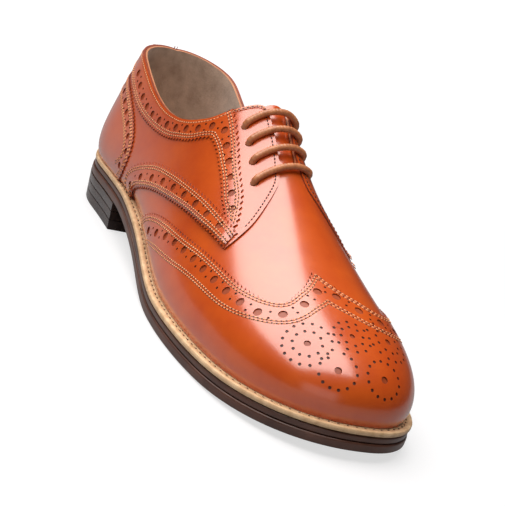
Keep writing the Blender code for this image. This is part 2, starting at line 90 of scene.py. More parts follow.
LAST_ROWS = (
    (0.00, 0.0307, 0.0307, 0.0000, 0.1202, 2.25, 1.60, 0.0030, 0.0030),
    (0.14, 0.0317, 0.0307, 0.0000, 0.1174, 2.20, 1.60, 0.0030, 0.0030),
    (0.30, 0.0322, 0.0268, 0.0000, 0.1077, 2.10, 1.55, 0.0040, 0.0060),
    (0.45, 0.0367, 0.0268, 0.0000, 0.0904, 2.05, 1.50, 0.0040, 0.0090),
    (0.58, 0.0434, 0.0358, 0.0011, 0.0712, 2.05, 1.50, 0.0030, 0.0060),
    (0.68, 0.0460, 0.0437, 0.0026, 0.0568, 2.10, 1.65, 0.0025, 0.0030),
    (0.78, 0.0446, 0.0446, 0.0040, 0.0457, 2.20, 2.00, 0.0022, 0.0022),
    (0.90, 0.0400, 0.0427, 0.0056, 0.0361, 2.30, 2.30, 0.0020, 0.0020),
    (1.00, 0.0362, 0.0402, 0.0060, 0.0322, 2.30, 2.40, 0.0020, 0.0020),
)
LATERAL, MEDIAL = -1, 1          # +Y is the inner, medial side of this right shoe
SIDES = ((LATERAL, "lateral"), (MEDIAL, "medial"))
print("last:", LAST_LENGTH * 1000, "mm long")


# %% A smooth curve through a few rows
def spline(places, values):
    """A natural cubic spline through the given points, as a function."""
    x, y = np.asarray(places, float), np.asarray(values, float)
    count, step = len(x), np.diff(x)
    matrix, right = np.eye(count), np.zeros((count,) + y.shape[1:])
    for i in range(1, count - 1):
        matrix[i, i - 1:i + 2] = step[i - 1], 2 * (step[i - 1] + step[i]), step[i]
        right[i] = 6 * ((y[i + 1] - y[i]) / step[i] - (y[i] - y[i - 1]) / step[i - 1])
    bend = np.linalg.solve(matrix, right)

    def value(at):
        t = np.clip(np.asarray(at, float), x[0], x[-1])
        i = np.clip(np.searchsorted(x, t) - 1, 0, count - 2)
        h, after, before = step[i], x[i + 1] - t, t - x[i]
        if y.ndim == 2:
            h, after, before = h[..., None], after[..., None], before[..., None]
        cubic = (bend[i] * after ** 3 + bend[i + 1] * before ** 3) / (6 * h)
        cubic = cubic + (y[i] / h - bend[i] * h / 6) * after
        return cubic + (y[i + 1] / h - bend[i + 1] * h / 6) * before

    return value


LAST = {name: spline([row[0] * LAST_LENGTH for row in LAST_ROWS], [row[k] for row in LAST_ROWS])
        for k, name in enumerate(LAST_COLUMNS) if k}
print("half width at the ball:", float(LAST["outer"](0.68 * LAST_LENGTH)))


# %% The last's surface
def last_value(x, y, z):
    """Under 1 inside the last, 1 on its surface; z is over the feather plane."""
    ridge = LAST["ridge"](x)
    across = ridge - y
    height = np.clip(z, 0, None)
    swell = height / BULGE_HEIGHT * np.exp(1 - height / BULGE_HEIGHT)
    outer = LAST["outer"](x) + ridge + LAST["outer_bulge"](x) * swell
    inner = LAST["inner"](x) - ridge + LAST["inner_bulge"](x) * swell
    half_width = np.where(across > 0, outer, inner)
    toe = np.clip((x - TOE_ROUNDING_START) / (LAST_LENGTH - TOE_ROUNDING_START + TOE_SWELL * swell),
                  0, None) ** TOE_POWER
    heel = np.clip((HEEL_ROUNDING_START - x) / (HEEL_ROUNDING_START + HEEL_SWELL * swell),
                   0, None) ** HEEL_POWER
    return ((np.abs(across) / half_width) ** LAST["side_power"](x)
            + (height / LAST["height"](x)) ** LAST["top_power"](x) + toe + heel)


def cast(start, direction, reach=0.170, rounds=26):
    """Where rays from inside the last leave it."""
    near, far = np.zeros(start.shape[:-1]), np.full(start.shape[:-1], reach)
    for _ in range(rounds):
        middle = (near + far) / 2
        spot = start + direction * middle[..., None]
        inside = last_value(spot[..., 0], spot[..., 1], spot[..., 2]) < 1
        near, far = np.where(inside, middle, near), np.where(inside, far, middle)
    return start + direction * near[..., None]


def slopes(spots, step=0.0001):
    """Outward directions on the last; level at the feather edge."""
    x, y, z = spots[..., 0], spots[..., 1], np.maximum(spots[..., 2], step)
    slope = np.stack([last_value(x + step, y, z) - last_value(x - step, y, z),
                      last_value(x, y + step, z) - last_value(x, y - step, z),
                      last_value(x, y, z + step) - last_value(x, y, z - step)], -1)
    slope[..., 2] *= np.clip(spots[..., 2] / LEVEL_BELOW, 0, 1)
    return slope / np.linalg.norm(slope, axis=-1, keepdims=True)


def on_last(along, around, off=0.0):
    """Points of the last over the feather plane; off is outwards."""
    along, around = np.broadcast_arrays(np.asarray(along, float), np.asarray(around, float))
    forward = np.clip((along - 0.7) / 0.3, 0, 1)
    backward = np.clip((0.3 - along) / 0.3, 0, 1)
    tilt = np.radians(90 * forward ** 1.5 - 90 * backward ** 1.5)
    angle = np.radians(around)
    start = np.stack([HEEL_CENTRE + (TOE_CENTRE - HEEL_CENTRE) * along, 0 * along, 0 * along], -1)
    direction = np.stack([np.cos(angle) * np.sin(tilt), np.sin(angle), np.cos(angle) * np.cos(tilt)], -1)
    spots = cast(start, direction)
    return spots + slopes(spots) * np.asarray(off)[..., None]


print("instep at half length:", on_last(0.5, 0.0).round(4))


# %% [markdown]
# ## From the last to the standing shoe
# The last stands on a flat plane while pieces are worked out. Then each point is raised by one
# curve, the pitch of the heel and the spring of the toe, as the solid model does it.

# %% The curve under the shoe, and its outline in plan
def sheet(x):
    """Height of the top of the welt over the floor."""
    stack = WELT_THICKNESS + GAP + MIDSOLE_THICKNESS + GAP + OUTSOLE_THICKNESS
    toe = TOE_SPRING * np.clip((x - FLAT_END) / (LAST_LENGTH - FLAT_END), 0, None) ** 2
    rise = np.clip((FLAT_START - x) / (FLAT_START - HEEL_BREAST), 0, 1)
    return stack + toe + HEEL_PITCH * rise * rise * (3 - 2 * rise)


def run_length(spots):
    """Length along a line of points, from its start."""
    return np.concatenate([[0], np.cumsum(np.linalg.norm(np.diff(spots, axis=0), axis=1))])


def resampled(line, length, at):
    """A line's points read off at other places along its length."""
    return np.stack([np.interp(at, length, column) for column in line.T], -1)


def feather_loop(count=720):
    """The closed plan outline of the last at the feather edge, evenly spaced."""
    side = np.linspace(0, 1, count)
    turn = np.linspace(math.radians(-90), math.radians(90), count // 3)[1:-1]
    level = 0 * turn
    toe = cast(np.array([TOE_CENTRE, 0, 0]) + np.outer(level, [1, 1, 1]),
               np.stack([np.cos(turn), np.sin(turn), level], -1))
    heel = cast(np.array([HEEL_CENTRE, 0, 0]) + np.outer(level, [1, 1, 1]),
                np.stack([-np.cos(turn), -np.sin(turn), level], -1))
    ring = np.concatenate([on_last(side, -90.0), toe, on_last(side[::-1], 90.0), heel])[:, :2]
    ring = ring[np.linalg.norm(ring - np.roll(ring, 1, 0), axis=1) > 1e-5]
    ring = np.concatenate([ring, ring[:1]])
    length = run_length(ring)
    return resampled(ring, length, np.linspace(0, length[-1], count, endpoint=False))


FEATHER = feather_loop()


def grown_loop(reach, heel_tuck=0.0):
    """The feather outline grown by reach, less by heel_tuck around the heel."""
    ahead = np.roll(FEATHER, -4, 0) - np.roll(FEATHER, 4, 0)
    outward = np.stack([ahead[:, 1], -ahead[:, 0]], -1)
    outward /= np.linalg.norm(outward, axis=1)[:, None]
    heel = np.clip((TUCK_START - FEATHER[:, 0]) / (TUCK_START - TUCK_FULL), 0, 1)
    heel = heel * heel * (3 - 2 * heel)
    return FEATHER + outward * (reach - heel_tuck * heel)[:, None]


BOUNDARY = grown_loop(WELT_REACH, HEEL_SEAT_TUCK)
MIDDLE = (BOUNDARY.min(0) + BOUNDARY.max(0)) / 2


def raised(spots):
    """Last space to the standing shoe, with the origin under the middle of its outline."""
    world = np.array(spots, float)
    world[..., 2] += sheet(world[..., 0])
    world[..., :2] -= MIDDLE
    return world


def skin(along, around, off=0.0):
    """Points of the standing shoe over the last; nothing reaches below the welt's top."""
    spots = on_last(along, around, off)
    spots[..., 2] = np.maximum(spots[..., 2], GAP / 2)
    return raised(spots)


print("outline:", (BOUNDARY.max(0) - BOUNDARY.min(0)).round(4))


# %% [markdown]
# ## Lines on the leather
# A maker marks the edges, stitch rows and punch marks with dividers, at fixed distances from each
# other. These helpers do the same: a line is rows of (along, around), and it can be spaced evenly
# in real length, or copied at a distance to its left or right over the curved surface.

# %% Line helpers
def even_line(line, count):
    """The same line with points evenly spaced over the last, and its length."""
    length = run_length(skin(line[:, 0], line[:, 1]))
    return resampled(line, length, np.linspace(0, length[-1], count)), length[-1]


def smooth_line(rows, side=1, count=240):
    """A smooth curve through rows of (along, around); side mirrors it to the outer side."""
    rows = np.asarray(rows, float) * (1, side)
    stretch = np.array([0.200, 0.0008])      # metres for one unit of along and of around
    knots = run_length(rows * stretch)
    return spline(knots, rows)(np.linspace(0, knots[-1], count))


def chained(*parts, count=400):
    """Lines end to end as one, evenly spaced."""
    joined = np.concatenate([part if i == 0 else part[1:] for i, part in enumerate(parts)])
    return even_line(joined, count)[0]


def chart_slopes(along, around, step=0.002, turn=0.5):
    """How far one unit of along, and one degree of around, go over the leather, as vectors."""
    by_along = (skin(along + step, around) - skin(along - step, around)) / (2 * step)
    by_around = (skin(along, around + turn) - skin(along, around - turn)) / (2 * turn)
    return by_along, by_around


def beside(line, distance):
    """The line moved over the leather: to its left as seen from outside, by metres."""
    by_along, by_around = chart_slopes(line[:, 0], line[:, 1])
    ahead = np.gradient(skin(line[:, 0], line[:, 1]), axis=0)
    left = np.cross(np.cross(by_along, by_around), ahead)
    left *= (distance / np.linalg.norm(left, axis=1))[:, None]
    aa, ab, bb = (by_along ** 2).sum(1), (by_along * by_around).sum(1), (by_around ** 2).sum(1)
    pa, pb = (left * by_along).sum(1), (left * by_around).sum(1)
    flat = aa * bb - ab * ab
    return line + np.stack([(pa * bb - pb * ab) / flat, (pb * aa - pa * ab) / flat], -1)


def placements(line, off, scale=(1, 1, 1)):
    """Matrices that put a small thing at each point: X along the line, Z out of the leather."""
    below, spots, above = [skin(line[:, 0], line[:, 1], off + step) for step in (-0.001, 0, 0.001)]
    out = above - below
    out /= np.linalg.norm(out, axis=1)[:, None]
    return frames(spots, out, scale)


def frames(spots, out, scale):
    """Matrices at points in space: X along their line, Z along out, which is of unit length."""
    ahead = np.gradient(spots, axis=0) if len(spots) > 1 else np.array([[1.0, 0, 0]])
    ahead -= out * (ahead * out).sum(1)[:, None]
    ahead /= np.linalg.norm(ahead, axis=1)[:, None]
    across = np.cross(out, ahead)
    made = []
    for spot, x, y, z in zip(spots, ahead, across, out):
        turn = Matrix(np.stack([x * scale[0], y * scale[1], z * scale[2]], 1).tolist()).to_4x4()
        made.append(Matrix.Translation(spot.tolist()) @ turn)
    return made


print("lines are ready")


# %% [markdown]
# ## Leather, thread and edges
# Polished calf is a dyed, slightly mottled body under a hard clear wax. The Principled shader's
# coat is that wax: a sharp reflection over a softer one. Fine pores come from a small Voronoi bump
# and the mottling from noise, both in the shoe's own coordinates. They share one node group,
# because calf, lining, laces, threads and soles all use it with values of their own.

# %% Node helpers and the shared group
def new_group(name, inputs, outputs):
    group = bpy.data.node_groups.new(name, "ShaderNodeTree")
    for label, value in inputs.items():
        socket = group.interface.new_socket(label, in_out="INPUT", socket_type="NodeSocketFloat")
        socket.default_value = value
    for label, kind in outputs.items():
        group.interface.new_socket(label, in_out="OUTPUT", socket_type=kind)
    return group


def add(tree, kind, **values):
    """A node, with its properties and its inputs set by name."""
    node = tree.nodes.new(kind)
    for key, value in values.items():
        if hasattr(node, key):
            setattr(node, key, value)
        else:
            node.inputs[key.replace("_", " ")].default_value = value
    return node


def wire(tree, source, output, target, socket):
    tree.links.new(source.outputs[output], target.inputs[socket])


def make_grain_group():
    """Pores and a soft unevenness as a height, and a mottling mask."""
    group = new_group("leather_grain", {"Pores": 1400.0, "Mottle": 45.0},
                      {"Height": "NodeSocketFloat", "Mask": "NodeSocketFloat"})
    start, end = group.nodes.new("NodeGroupInput"), group.nodes.new("NodeGroupOutput")
    where = add(group, "ShaderNodeTexCoord")
    pores = add(group, "ShaderNodeTexVoronoi", feature="SMOOTH_F1", Smoothness=0.6)
    soft = add(group, "ShaderNodeTexNoise", Scale=260.0, Detail=3.0, Roughness=0.55)
    mottle = add(group, "ShaderNodeTexNoise", Detail=4.0, Roughness=0.6)
    mix = add(group, "ShaderNodeMath", operation="MULTIPLY_ADD")
    mix.inputs[1].default_value = 0.5
    for node in (pores, soft, mottle):
        wire(group, where, "Object", node, "Vector")
    wire(group, start, "Pores", pores, "Scale")
    wire(group, start, "Mottle", mottle, "Scale")
    wire(group, pores, "Distance", mix, 0)
    wire(group, soft, "Fac", mix, 2)
    wire(group, mix, "Value", end, "Height")
    wire(group, mottle, "Fac", end, "Mask")
    return group


GRAIN = make_grain_group()
print("group:", GRAIN.name)


# %% One function for every leather
def make_leather(name, light, dark, roughness, coat=0.0, coat_roughness=0.10, pores=1400.0,
                 mottle=45.0, bump=0.15, spread=0.08, sheen=0.0, coat_ior=1.5):
    """Light and dark are the two ends of the mottling; spread is how much the roughness varies."""
    material = bpy.data.materials.new(name)
    material.use_nodes = True
    tree = material.node_tree
    shader = tree.nodes["Principled BSDF"]
    grain = add(tree, "ShaderNodeGroup", node_tree=GRAIN, Pores=pores, Mottle=mottle)
    ramp = add(tree, "ShaderNodeValToRGB")
    for stop, place, colour in zip(ramp.color_ramp.elements, (0.30, 0.70), (dark, light)):
        stop.position, stop.color = place, (*colour, 1)
    wire(tree, grain, "Mask", ramp, "Fac")
    wire(tree, ramp, "Color", shader, "Base Color")
    gloss = add(tree, "ShaderNodeMapRange", To_Min=roughness - spread, To_Max=roughness + spread)
    wire(tree, grain, "Mask", gloss, "Value")
    wire(tree, gloss, "Result", shader, "Roughness")
    relief = add(tree, "ShaderNodeBump", Strength=bump, Distance=0.0002)
    wire(tree, grain, "Height", relief, "Height")
    wire(tree, relief, "Normal", shader, "Normal")
    for label, value in (("Coat Weight", coat), ("Coat Roughness", coat_roughness),
                         ("Coat IOR", coat_ior), ("Sheen Weight", sheen)):
        shader.inputs[label].default_value = value
    return material


CALF = make_leather("polished_calf", (0.68, 0.100, 0.0035), (0.56, 0.064, 0.0020), 0.31, coat=1.0,
                    coat_roughness=0.19, coat_ior=1.72, bump=0.015, spread=0.03)
CALF_EDGE = make_leather("cut_calf_edge", (0.30, 0.050, 0.014), (0.16, 0.024, 0.008), 0.60, bump=0.3)
RIM = make_leather("topline_edge", (0.60, 0.25, 0.12), (0.42, 0.15, 0.07), 0.60, bump=0.3)
LINING = make_leather("lining_suede", (0.62, 0.45, 0.34), (0.42, 0.29, 0.21), 0.85, pores=900.0,
                      mottle=130.0, bump=0.8, sheen=0.35)
WELT_LEATHER = make_leather("natural_welt", (0.86, 0.60, 0.36), (0.60, 0.37, 0.19), 0.50, coat=0.15,
                            mottle=220.0, bump=0.35)
SOLE_EDGE = make_leather("burnished_sole_edge", (0.130, 0.050, 0.030), (0.065, 0.025, 0.016), 0.33,
                         coat=0.25, mottle=90.0, bump=0.15)
HEEL_EDGE = make_leather("burnished_heel_edge", (0.060, 0.034, 0.028), (0.030, 0.018, 0.016), 0.28,
                         coat=0.45, mottle=90.0, bump=0.15)
SOLE_UNDER = make_leather("outsole_leather", (0.50, 0.30, 0.16), (0.38, 0.21, 0.10), 0.45, coat=0.2,
                          mottle=60.0, bump=0.2)
# Painted shade: the colour of the dark discs at the bottom of the punched holes
PAINTED_HOLE_SHADE = make_leather("painted_shade_in_holes", (0.40, 0.066, 0.010), (0.28, 0.040, 0.006), 0.45,
                            coat=0.2)
THREAD = make_leather("waxed_thread", (0.92, 0.44, 0.21), (0.76, 0.28, 0.11), 0.42, bump=0.3)
# Dark thread for the facing's stitches; the same dark also paints the shade in stitch holes and pinholes
DARK_THREAD_AND_SHADE = make_leather("dark_thread_and_painted_shade", (0.09, 0.018, 0.007), (0.05, 0.010, 0.005), 0.5, bump=0.3)
WELT_THREAD = make_leather("welt_thread", (0.74, 0.52, 0.29), (0.55, 0.34, 0.17), 0.55, bump=0.3)
print("materials:", len(bpy.data.materials))


# %% [markdown]
# ## From a flat grid to a cut piece of leather
# A leather piece starts as a flat grid, as leather starts as a flat hide. Each point of the grid
# is moved to its place on the last. Extruding the whole sheet gives it its thickness, and the cut
# edge gets its own paler leather. Sculpting or shrink-wrapping would also work, but the grid keeps
# even, long rows of faces that the polish can flow over.

# %% The sheet builder
SHARP_EDGE, ROUND = 38, 80       # degrees; an edge duller than this is shaded round


def as_mesh(bm, name):
    mesh = bpy.data.meshes.new(name)
    bm.to_mesh(mesh)
    bm.free()
    return mesh


def in_scene(data, name):
    """A mesh, lamp or camera as an object of the scene."""
    thing = bpy.data.objects.new(name, data)
    bpy.context.scene.collection.objects.link(thing)
    return thing


def put_up(bm, name, materials=(), sharp=SHARP_EDGE, replaces=()):
    """A finished bmesh as a piece of the shoe."""
    mesh = as_mesh(bm, name)
    mesh.shade_smooth()
    mesh.set_sharp_from_angle(angle=math.radians(sharp))
    thing = in_scene(mesh, name)
    for material in materials:
        mesh.materials.append(material)
    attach(thing, "root")
    if replaces:
        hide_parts(*replaces)
    print(f"{name}: {len(mesh.polygons)} faces")
    return thing


def moved_grid(spots):
    """A flat grid, moved onto a table of points; its vertices remember their column and row."""
    columns, rows = spots.shape[:2]
    bm = bmesh.new()
    bm.loops.layers.uv.new("UVMap")
    bmesh.ops.create_grid(bm, x_segments=columns - 1, y_segments=rows - 1, size=1.0, calc_uvs=True)
    column, row = bm.verts.layers.int.new("column"), bm.verts.layers.int.new("row")
    for vert in bm.verts:
        i, j = round((vert.co.x + 1) / 2 * (columns - 1)), round((vert.co.y + 1) / 2 * (rows - 1))
        vert[column], vert[row] = i, j
        vert.co = spots[i, j]
    return bm, column, row


def leather(name, grid, top, thickness, materials=(CALF, CALF, CALF_EDGE), ring=False, replaces=()):
    """A wall of leather over a grid of (along, around), its outer face at top over the last. The
    three materials are for the outer face, the flesh side and the cut edge."""
    outer, inner = [skin(grid[..., 0], grid[..., 1], off) for off in (top, top - thickness)]
    if ring:
        outer[-1], inner[-1] = outer[0], inner[0]
    bm, column, row = moved_grid(outer)
    if ring:
        bmesh.ops.remove_doubles(bm, verts=bm.verts, dist=1e-6)
    first = set(bm.verts)
    made = bmesh.ops.extrude_face_region(bm, geom=bm.faces[:], use_keep_orig=True)["geom"]
    for vert in made:
        if isinstance(vert, bmesh.types.BMVert):
            vert.co = inner[vert[column], vert[row]]
    for face in bm.faces:
        kept = sum(vert in first for vert in face.verts)
        face.material_index = 0 if kept == len(face.verts) else 1 if kept == 0 else 2
    bmesh.ops.recalc_face_normals(bm, faces=bm.faces)
    return put_up(bm, name, materials=materials, replaces=replaces)


def rows_between(low, high, rows):
    """Chart rows from the low line to the high line, evenly spaced over the last."""
    share = np.linspace(0, 1, 40)
    dense = low[:, None] + (high - low)[:, None] * share[:, None]
    spots = skin(dense[..., 0], dense[..., 1])
    length = np.concatenate([np.zeros((len(low), 1)),
                             np.cumsum(np.linalg.norm(np.diff(spots, axis=1), axis=2), axis=1)], 1)
    grid = np.empty((len(low), rows, 2))
    for i, run in enumerate(length):
        at = np.interp(np.linspace(0, 1, rows) * run[-1], run, share)
        grid[i] = low[i] + (high[i] - low[i]) * at[:, None]
    return grid


print("sheet builder is ready")

# %% [markdown]
# ## The pattern
# These are the pattern pieces' edges, drawn on the last as the solid model has them. They are
# written for one side, and the other side takes them mirrored.

# %% Paths of the pattern, as rows of (along, around in degrees)
COLLAR = ((0.114, 0.0), (0.119, 10.0), (0.133, 17.5), (0.153, 22.1), (0.185, 27.0), (0.2325, 30.0),
          (0.285, 28.3), (0.3356, 25.5), (0.385, 21.8), (0.4295, 16.9), (0.455, 12.0), (0.470, 8.6),
          (0.4825, 5.4), (0.494, 3.9))
THROAT = ((0.494, 3.9), (0.560, 3.5), (0.610, 3.8), (0.632, 2.6), (0.638, 0.0))
FACING_FRONT = ((0.494, 3.9), (0.560, 3.5), (0.610, 3.8), (0.655, 5.0), (0.697, 7.8), (0.728, 15.5),
                (0.749, 24.5), (0.760, 33.5), (0.767, 42.8))
QUARTER_FOOT = ((0.228, 89.0), (0.240, 82.0), (0.285, 72.0), (0.378, 60.5), (0.465, 53.5),
                (0.560, 48.0), (0.681, 44.4), (0.7635, 43.3))
QUARTER_WELT_END = 0.225
BAND_INNER_REAR = ((0.098, 0.5), (0.112, 18.0), (0.152, 34.5), (0.215, 40.3), (0.290, 37.3),
                   (0.350, 32.8), (0.400, 28.8), (0.440, 24.6), (0.464, 22.4))
BAND_INNER_FRONT = ((0.464, 22.4), (0.505, 22.6), (0.550, 24.1), (0.584, 25.5), (0.630, 28.3),
                    (0.668, 31.0), (0.712, 34.2), (0.724, 36.5))
BAND_OUTER_FRONT = ((0.450, 12.9), (0.465, 13.0), (0.480, 13.2), (0.508, 13.8), (0.560, 15.5),
                    (0.610, 17.8), (0.657, 19.9), (0.693, 22.2), (0.722, 26.4), (0.738, 30.2),
                    (0.746, 33.8))
FOOT_BAND_CREST = ((0.172, 89.0), (0.180, 77.5), (0.245, 59.5), (0.297, 51.0), (0.367, 45.0),
                   (0.458, 40.0), (0.550, 36.3), (0.628, 34.0), (0.690, 33.2), (0.7545, 33.0))
COUNTER_EDGE = ((0.112, 88.0), (0.163, 76.0), (0.183, 62.0), (0.177, 50.0), (0.153, 38.0),
                (0.120, 25.0), (0.097, 12.0), (0.090, 0.0))
COUNTER_WELT_END = 0.108
BACKSTAY_FOOT = ((0.0925, -9.0), (0.0895, 0.0), (0.0925, 9.0))
BACKSTAY_CREST = ((0.1175, -9.0), (0.1140, -4.0), (0.1135, 0.0), (0.1140, 4.0), (0.1175, 9.0))
WING_EDGE = ((0.357, 87.5), (0.380, 79.0), (0.430, 68.5), (0.541, 58.2), (0.650, 53.8),
             (0.7483, 50.8), (0.805, 48.0), (0.8454, 43.6), (0.8655, 38.0), (0.8770, 31.0),
             (0.8785, 24.0), (0.868, 15.5), (0.859, 9.8), (0.846, 4.5), (0.8328, 0.0))
WING_LEAN = 6.5                  # degrees that the point of the wings leans to the outer side
WING_WELT_END = 0.362
COLLAR_HOLES = ((0.1406, 24.1), (0.1613, 29.9), (0.2121, 35.2), (0.2845, 32.3), (0.3972, 24.1),
                (0.450, 18.9), (0.4666, 17.6), (0.5025, 18.0), (0.5836, 20.8), (0.665, 25.5),
                (0.7040, 28.6))
FOOT_HOLES = ((0.2289, 77.9), (0.262, 68.0), (0.300, 61.5), (0.359, 54.4), (0.4953, 44.6),
              (0.6212, 39.6), (0.7219, 37.6))
WING_HOLES = ((0.4634, 76.4), (0.5908, 63.2), (0.7145, 58.7), (0.8024, 56.1), (0.8637, 49.2),
              (0.890, 41.5), (0.8968, 35.0), (0.8955, 25.5), (0.888, 16.5), (0.8735, 7.5),
              (0.860, 0.0))
print("wing edge:", len(WING_EDGE), "pattern points")


# %% How the layers lie over the last, in metres: outer face and thickness
UPPER_WALL, UPPER_SKIVE = 0.0018, 0.0008
QUARTER_TOP, QUARTER_THICKNESS = 0.0010, 0.0009
BAND_TOP, BAND_THICKNESS = 0.0017, 0.0007
WING_TOP, WING_THICKNESS = 0.0010, 0.0009
COUNTER_TOP = 0.0017
BACKSTAY_TOP = 0.0024
FOOT_BAND_LIFT, FOOT_BAND_CROSSING = 0.0007, (0.600, 0.090)      # it rises from here, over this stretch
FOOT_BAND_HAMMERED, FOOT_BAND_TIP_DROP = 0.0007, 0.0008
PINK_PITCH = 0.0028              # a pinked edge is cut in small teeth
PINK_DEPTH = 0.0013
PINK_ROW = 0.0016
COLUMNS_PER_TOOTH = 4
TOOTH = (0.0, 0.55, 1.0, 0.55)
print("pinking:", PINK_PITCH * 1000, "mm")


# %% Mirrored lines and pinked edges
def mirrored(rows, inset=0.0, count=800):
    """A line from the outer welt over the ridge to the inner welt, moved aside by inset.
    The two moved halves would cross at a peak, so each is cut off at the ridge."""
    half = smooth_line(rows)
    if inset:
        half = beside(half, inset)
    over = np.nonzero(half[:, 1] < 0)[0]
    if len(over) and over[0] > len(half) // 2:
        cut = over[0]
        share = half[cut - 1, 1] / (half[cut - 1, 1] - half[cut, 1])
        half = np.concatenate([half[:cut], [half[cut - 1] + (half[cut] - half[cut - 1]) * share]])
    else:
        half[-1, 1] = 0.0
    half = chained(half)
    return chained(half * (1, -1), half[::-1][1:], count=count)


def wing_line(rows, inset=0.0, count=800):
    """A mirrored line whose point leans to the outer side, and less so towards the flanks."""
    line = mirrored(rows, inset, count)
    share = np.cos(np.clip(line[:, 1] / 45, -1, 1) * math.pi / 2) ** 2
    line[:, 1] -= WING_LEAN * share
    return line


def welt_line(start, end, side, count=120):
    return np.stack([np.linspace(start, end, count), np.full(count, 90.0 * side)], -1)


def end_line(along, start, end, count=120):
    """The feather edge around the heel (along 0) or the toe (along 1)."""
    return np.stack([np.full(count, float(along)), np.linspace(start, end, count)], -1)


def tooth_columns(line):
    """How many columns a pinked line takes."""
    teeth = round(even_line(line, 400)[1] / PINK_PITCH)
    return teeth * COLUMNS_PER_TOOTH + 1


def pinked(line, inward):
    """A line with four columns a tooth, cut in teeth; inward is 1 where the piece lies to the left."""
    depth = np.array([TOOTH[i % COLUMNS_PER_TOOTH] for i in range(len(line))]) * PINK_DEPTH
    ahead = np.diff(skin(line[:, 0], line[:, 1]), axis=0)
    ahead /= np.linalg.norm(ahead, axis=1)[:, None]
    corner = np.nonzero((ahead[1:] * ahead[:-1]).sum(1) < 0.9)[0]
    for at in corner:                        # no tooth folds over at a sharp corner
        depth[max(0, at - 2):at + 5] = 0
    return beside(line, depth * inward)


print("edges are ready")

# %% [markdown]
# ## The vamp and lining: one hollow wall
# The upper is a ring from the welt up to the collar and throat. Its outer face is the vamp's calf,
# its inner face the suede lining. It is skived thin along the collar, so that the topline is slim.

# %% The upper
UPPER_COLUMNS, UPPER_ROWS = 360, 44
SKIVE_WIDTH = 6                  # rows over which the wall thins towards the collar


def thinning(rows, width):
    """0 over most rows, and up to 1 over the last few at the edge."""
    return np.clip((np.arange(rows) - (rows - 1 - width)) / width, 0, 1) ** 2


def make_upper():
    half = chained(smooth_line(COLLAR), smooth_line(THROAT))
    opening = chained(half * (1, -1), half[::-1][1:], count=UPPER_COLUMNS + 1)
    foot = chained(end_line(0, 0, -90), welt_line(0, 1, -1), end_line(1, -90, 90),
                   welt_line(1, 0, 1), end_line(0, 90, 0), count=2400)
    foot = resampled(foot, np.linspace(0, 1, len(foot)), np.linspace(0, 1, UPPER_COLUMNS + 1))
    grid = rows_between(foot, opening, UPPER_ROWS)
    wall = UPPER_WALL - UPPER_SKIVE * thinning(UPPER_ROWS, SKIVE_WIDTH)
    return leather("upper_leather", grid, 0.0, wall, (CALF, LINING, RIM), ring=True, replaces=("upper",))


make_upper()


# %% [markdown]
# ## Quarters
# Each quarter wraps the heel and carries the lace holes in its facing, which lies open over the
# vamp: that is what makes it a derby. Its front edge stays smooth and is stitched dark.

# %% The quarters
QUARTER_COLUMNS, QUARTER_ROWS = 260, 40
FOOT_OVERHANG = 0.0022           # the brogued foot band reaches this much past the quarter's edge
BAR_STATIONS = (0.510, 0.553, 0.600, 0.651)
BAR_HALF_WIDTH = (11.2, 11.7, 12.7, 15.2)
LACE_INNER_REACH = 0.58          # the inner holes sit nearer to the ridge than the outer ones
LACE_SLANT = 0.004               # the lower a bar is, the more it runs up towards the inner side
EYELET_DIAMETER = 0.0042


def quarter_lines(side):
    """Its foot from the back seam to the front corner, and its crest over collar and facing."""
    foot = chained(end_line(0, 0.3 * side, 90 * side), welt_line(0, QUARTER_WELT_END, side),
                   beside(smooth_line(QUARTER_FOOT, side), -FOOT_OVERHANG * side), count=QUARTER_COLUMNS)
    collar = smooth_line(COLLAR, side)
    collar[:, 1] = np.where(np.abs(collar[:, 1]) < 0.3, 0.3 * side, collar[:, 1])
    crest = chained(collar, smooth_line(FACING_FRONT, side), count=QUARTER_COLUMNS)
    return foot, crest


def make_quarter(side, label):
    grid = rows_between(*quarter_lines(side), QUARTER_ROWS)
    edge = thinning(QUARTER_ROWS, 4)         # pared down a little at the topline
    return leather(f"quarter_leather_{label}", grid, QUARTER_TOP - 0.0002 * edge,
                   QUARTER_THICKNESS - 0.0003 * edge, (CALF, LINING, CALF_EDGE),
                   replaces=(f"quarter_{label}",))


for side, label in SIDES:
    make_quarter(side, label)

# %% [markdown]
# ## Punches and stitches
# Brogue holes are punched through the top layer, and a dark disc near the bottom of each, over the layer
# below, is painted shade. Dark beads between the stitches paint the shade in the stitch holes.
# A joined set of small cylinders cuts them all in one Boolean, which gives them true walls. The
# threads are copies of one small bead, stamped along each row. Both could be painted or bumped in
# the material instead, but real depth catches the light from every side.

# %% Stamping and punching
HOLE_DIAMETER, PINHOLE_DIAMETER, PUNCH_DEPTH = 0.0041, 0.0013, 0.0026
PUNCH_GAP = 0.0002               # the least leather left between two holes
HOLE_SHADE_DEPTH, PINHOLE_SHADE_DEPTH = 0.00066, 0.00040     # how deep the dark disc of painted shade in a hole lies
PINHOLE_APART = 0.0034           # between the two pinholes of a pair


def bead():
    """One stitch: a small rounded bead of unit size."""
    bm = bmesh.new()
    bmesh.ops.create_uvsphere(bm, u_segments=6, v_segments=5, radius=0.5)
    return as_mesh(bm, "bead")


def punch_tool(sides):
    """One punch: an upright cylinder of unit size."""
    bm = bmesh.new()
    bmesh.ops.create_cone(bm, segments=sides, radius1=0.5, radius2=0.5, depth=1.0, cap_ends=True)
    for face in bm.faces:
        face.material_index = 2
    return as_mesh(bm, "punch_tool")


BEAD, BIG_PUNCH, SMALL_PUNCH = bead(), punch_tool(18), punch_tool(8)
# Where the dark discs of painted shade go, at the bottom of the holes and pinholes
hole_painted_shade = {BIG_PUNCH.name: [], SMALL_PUNCH.name: []}


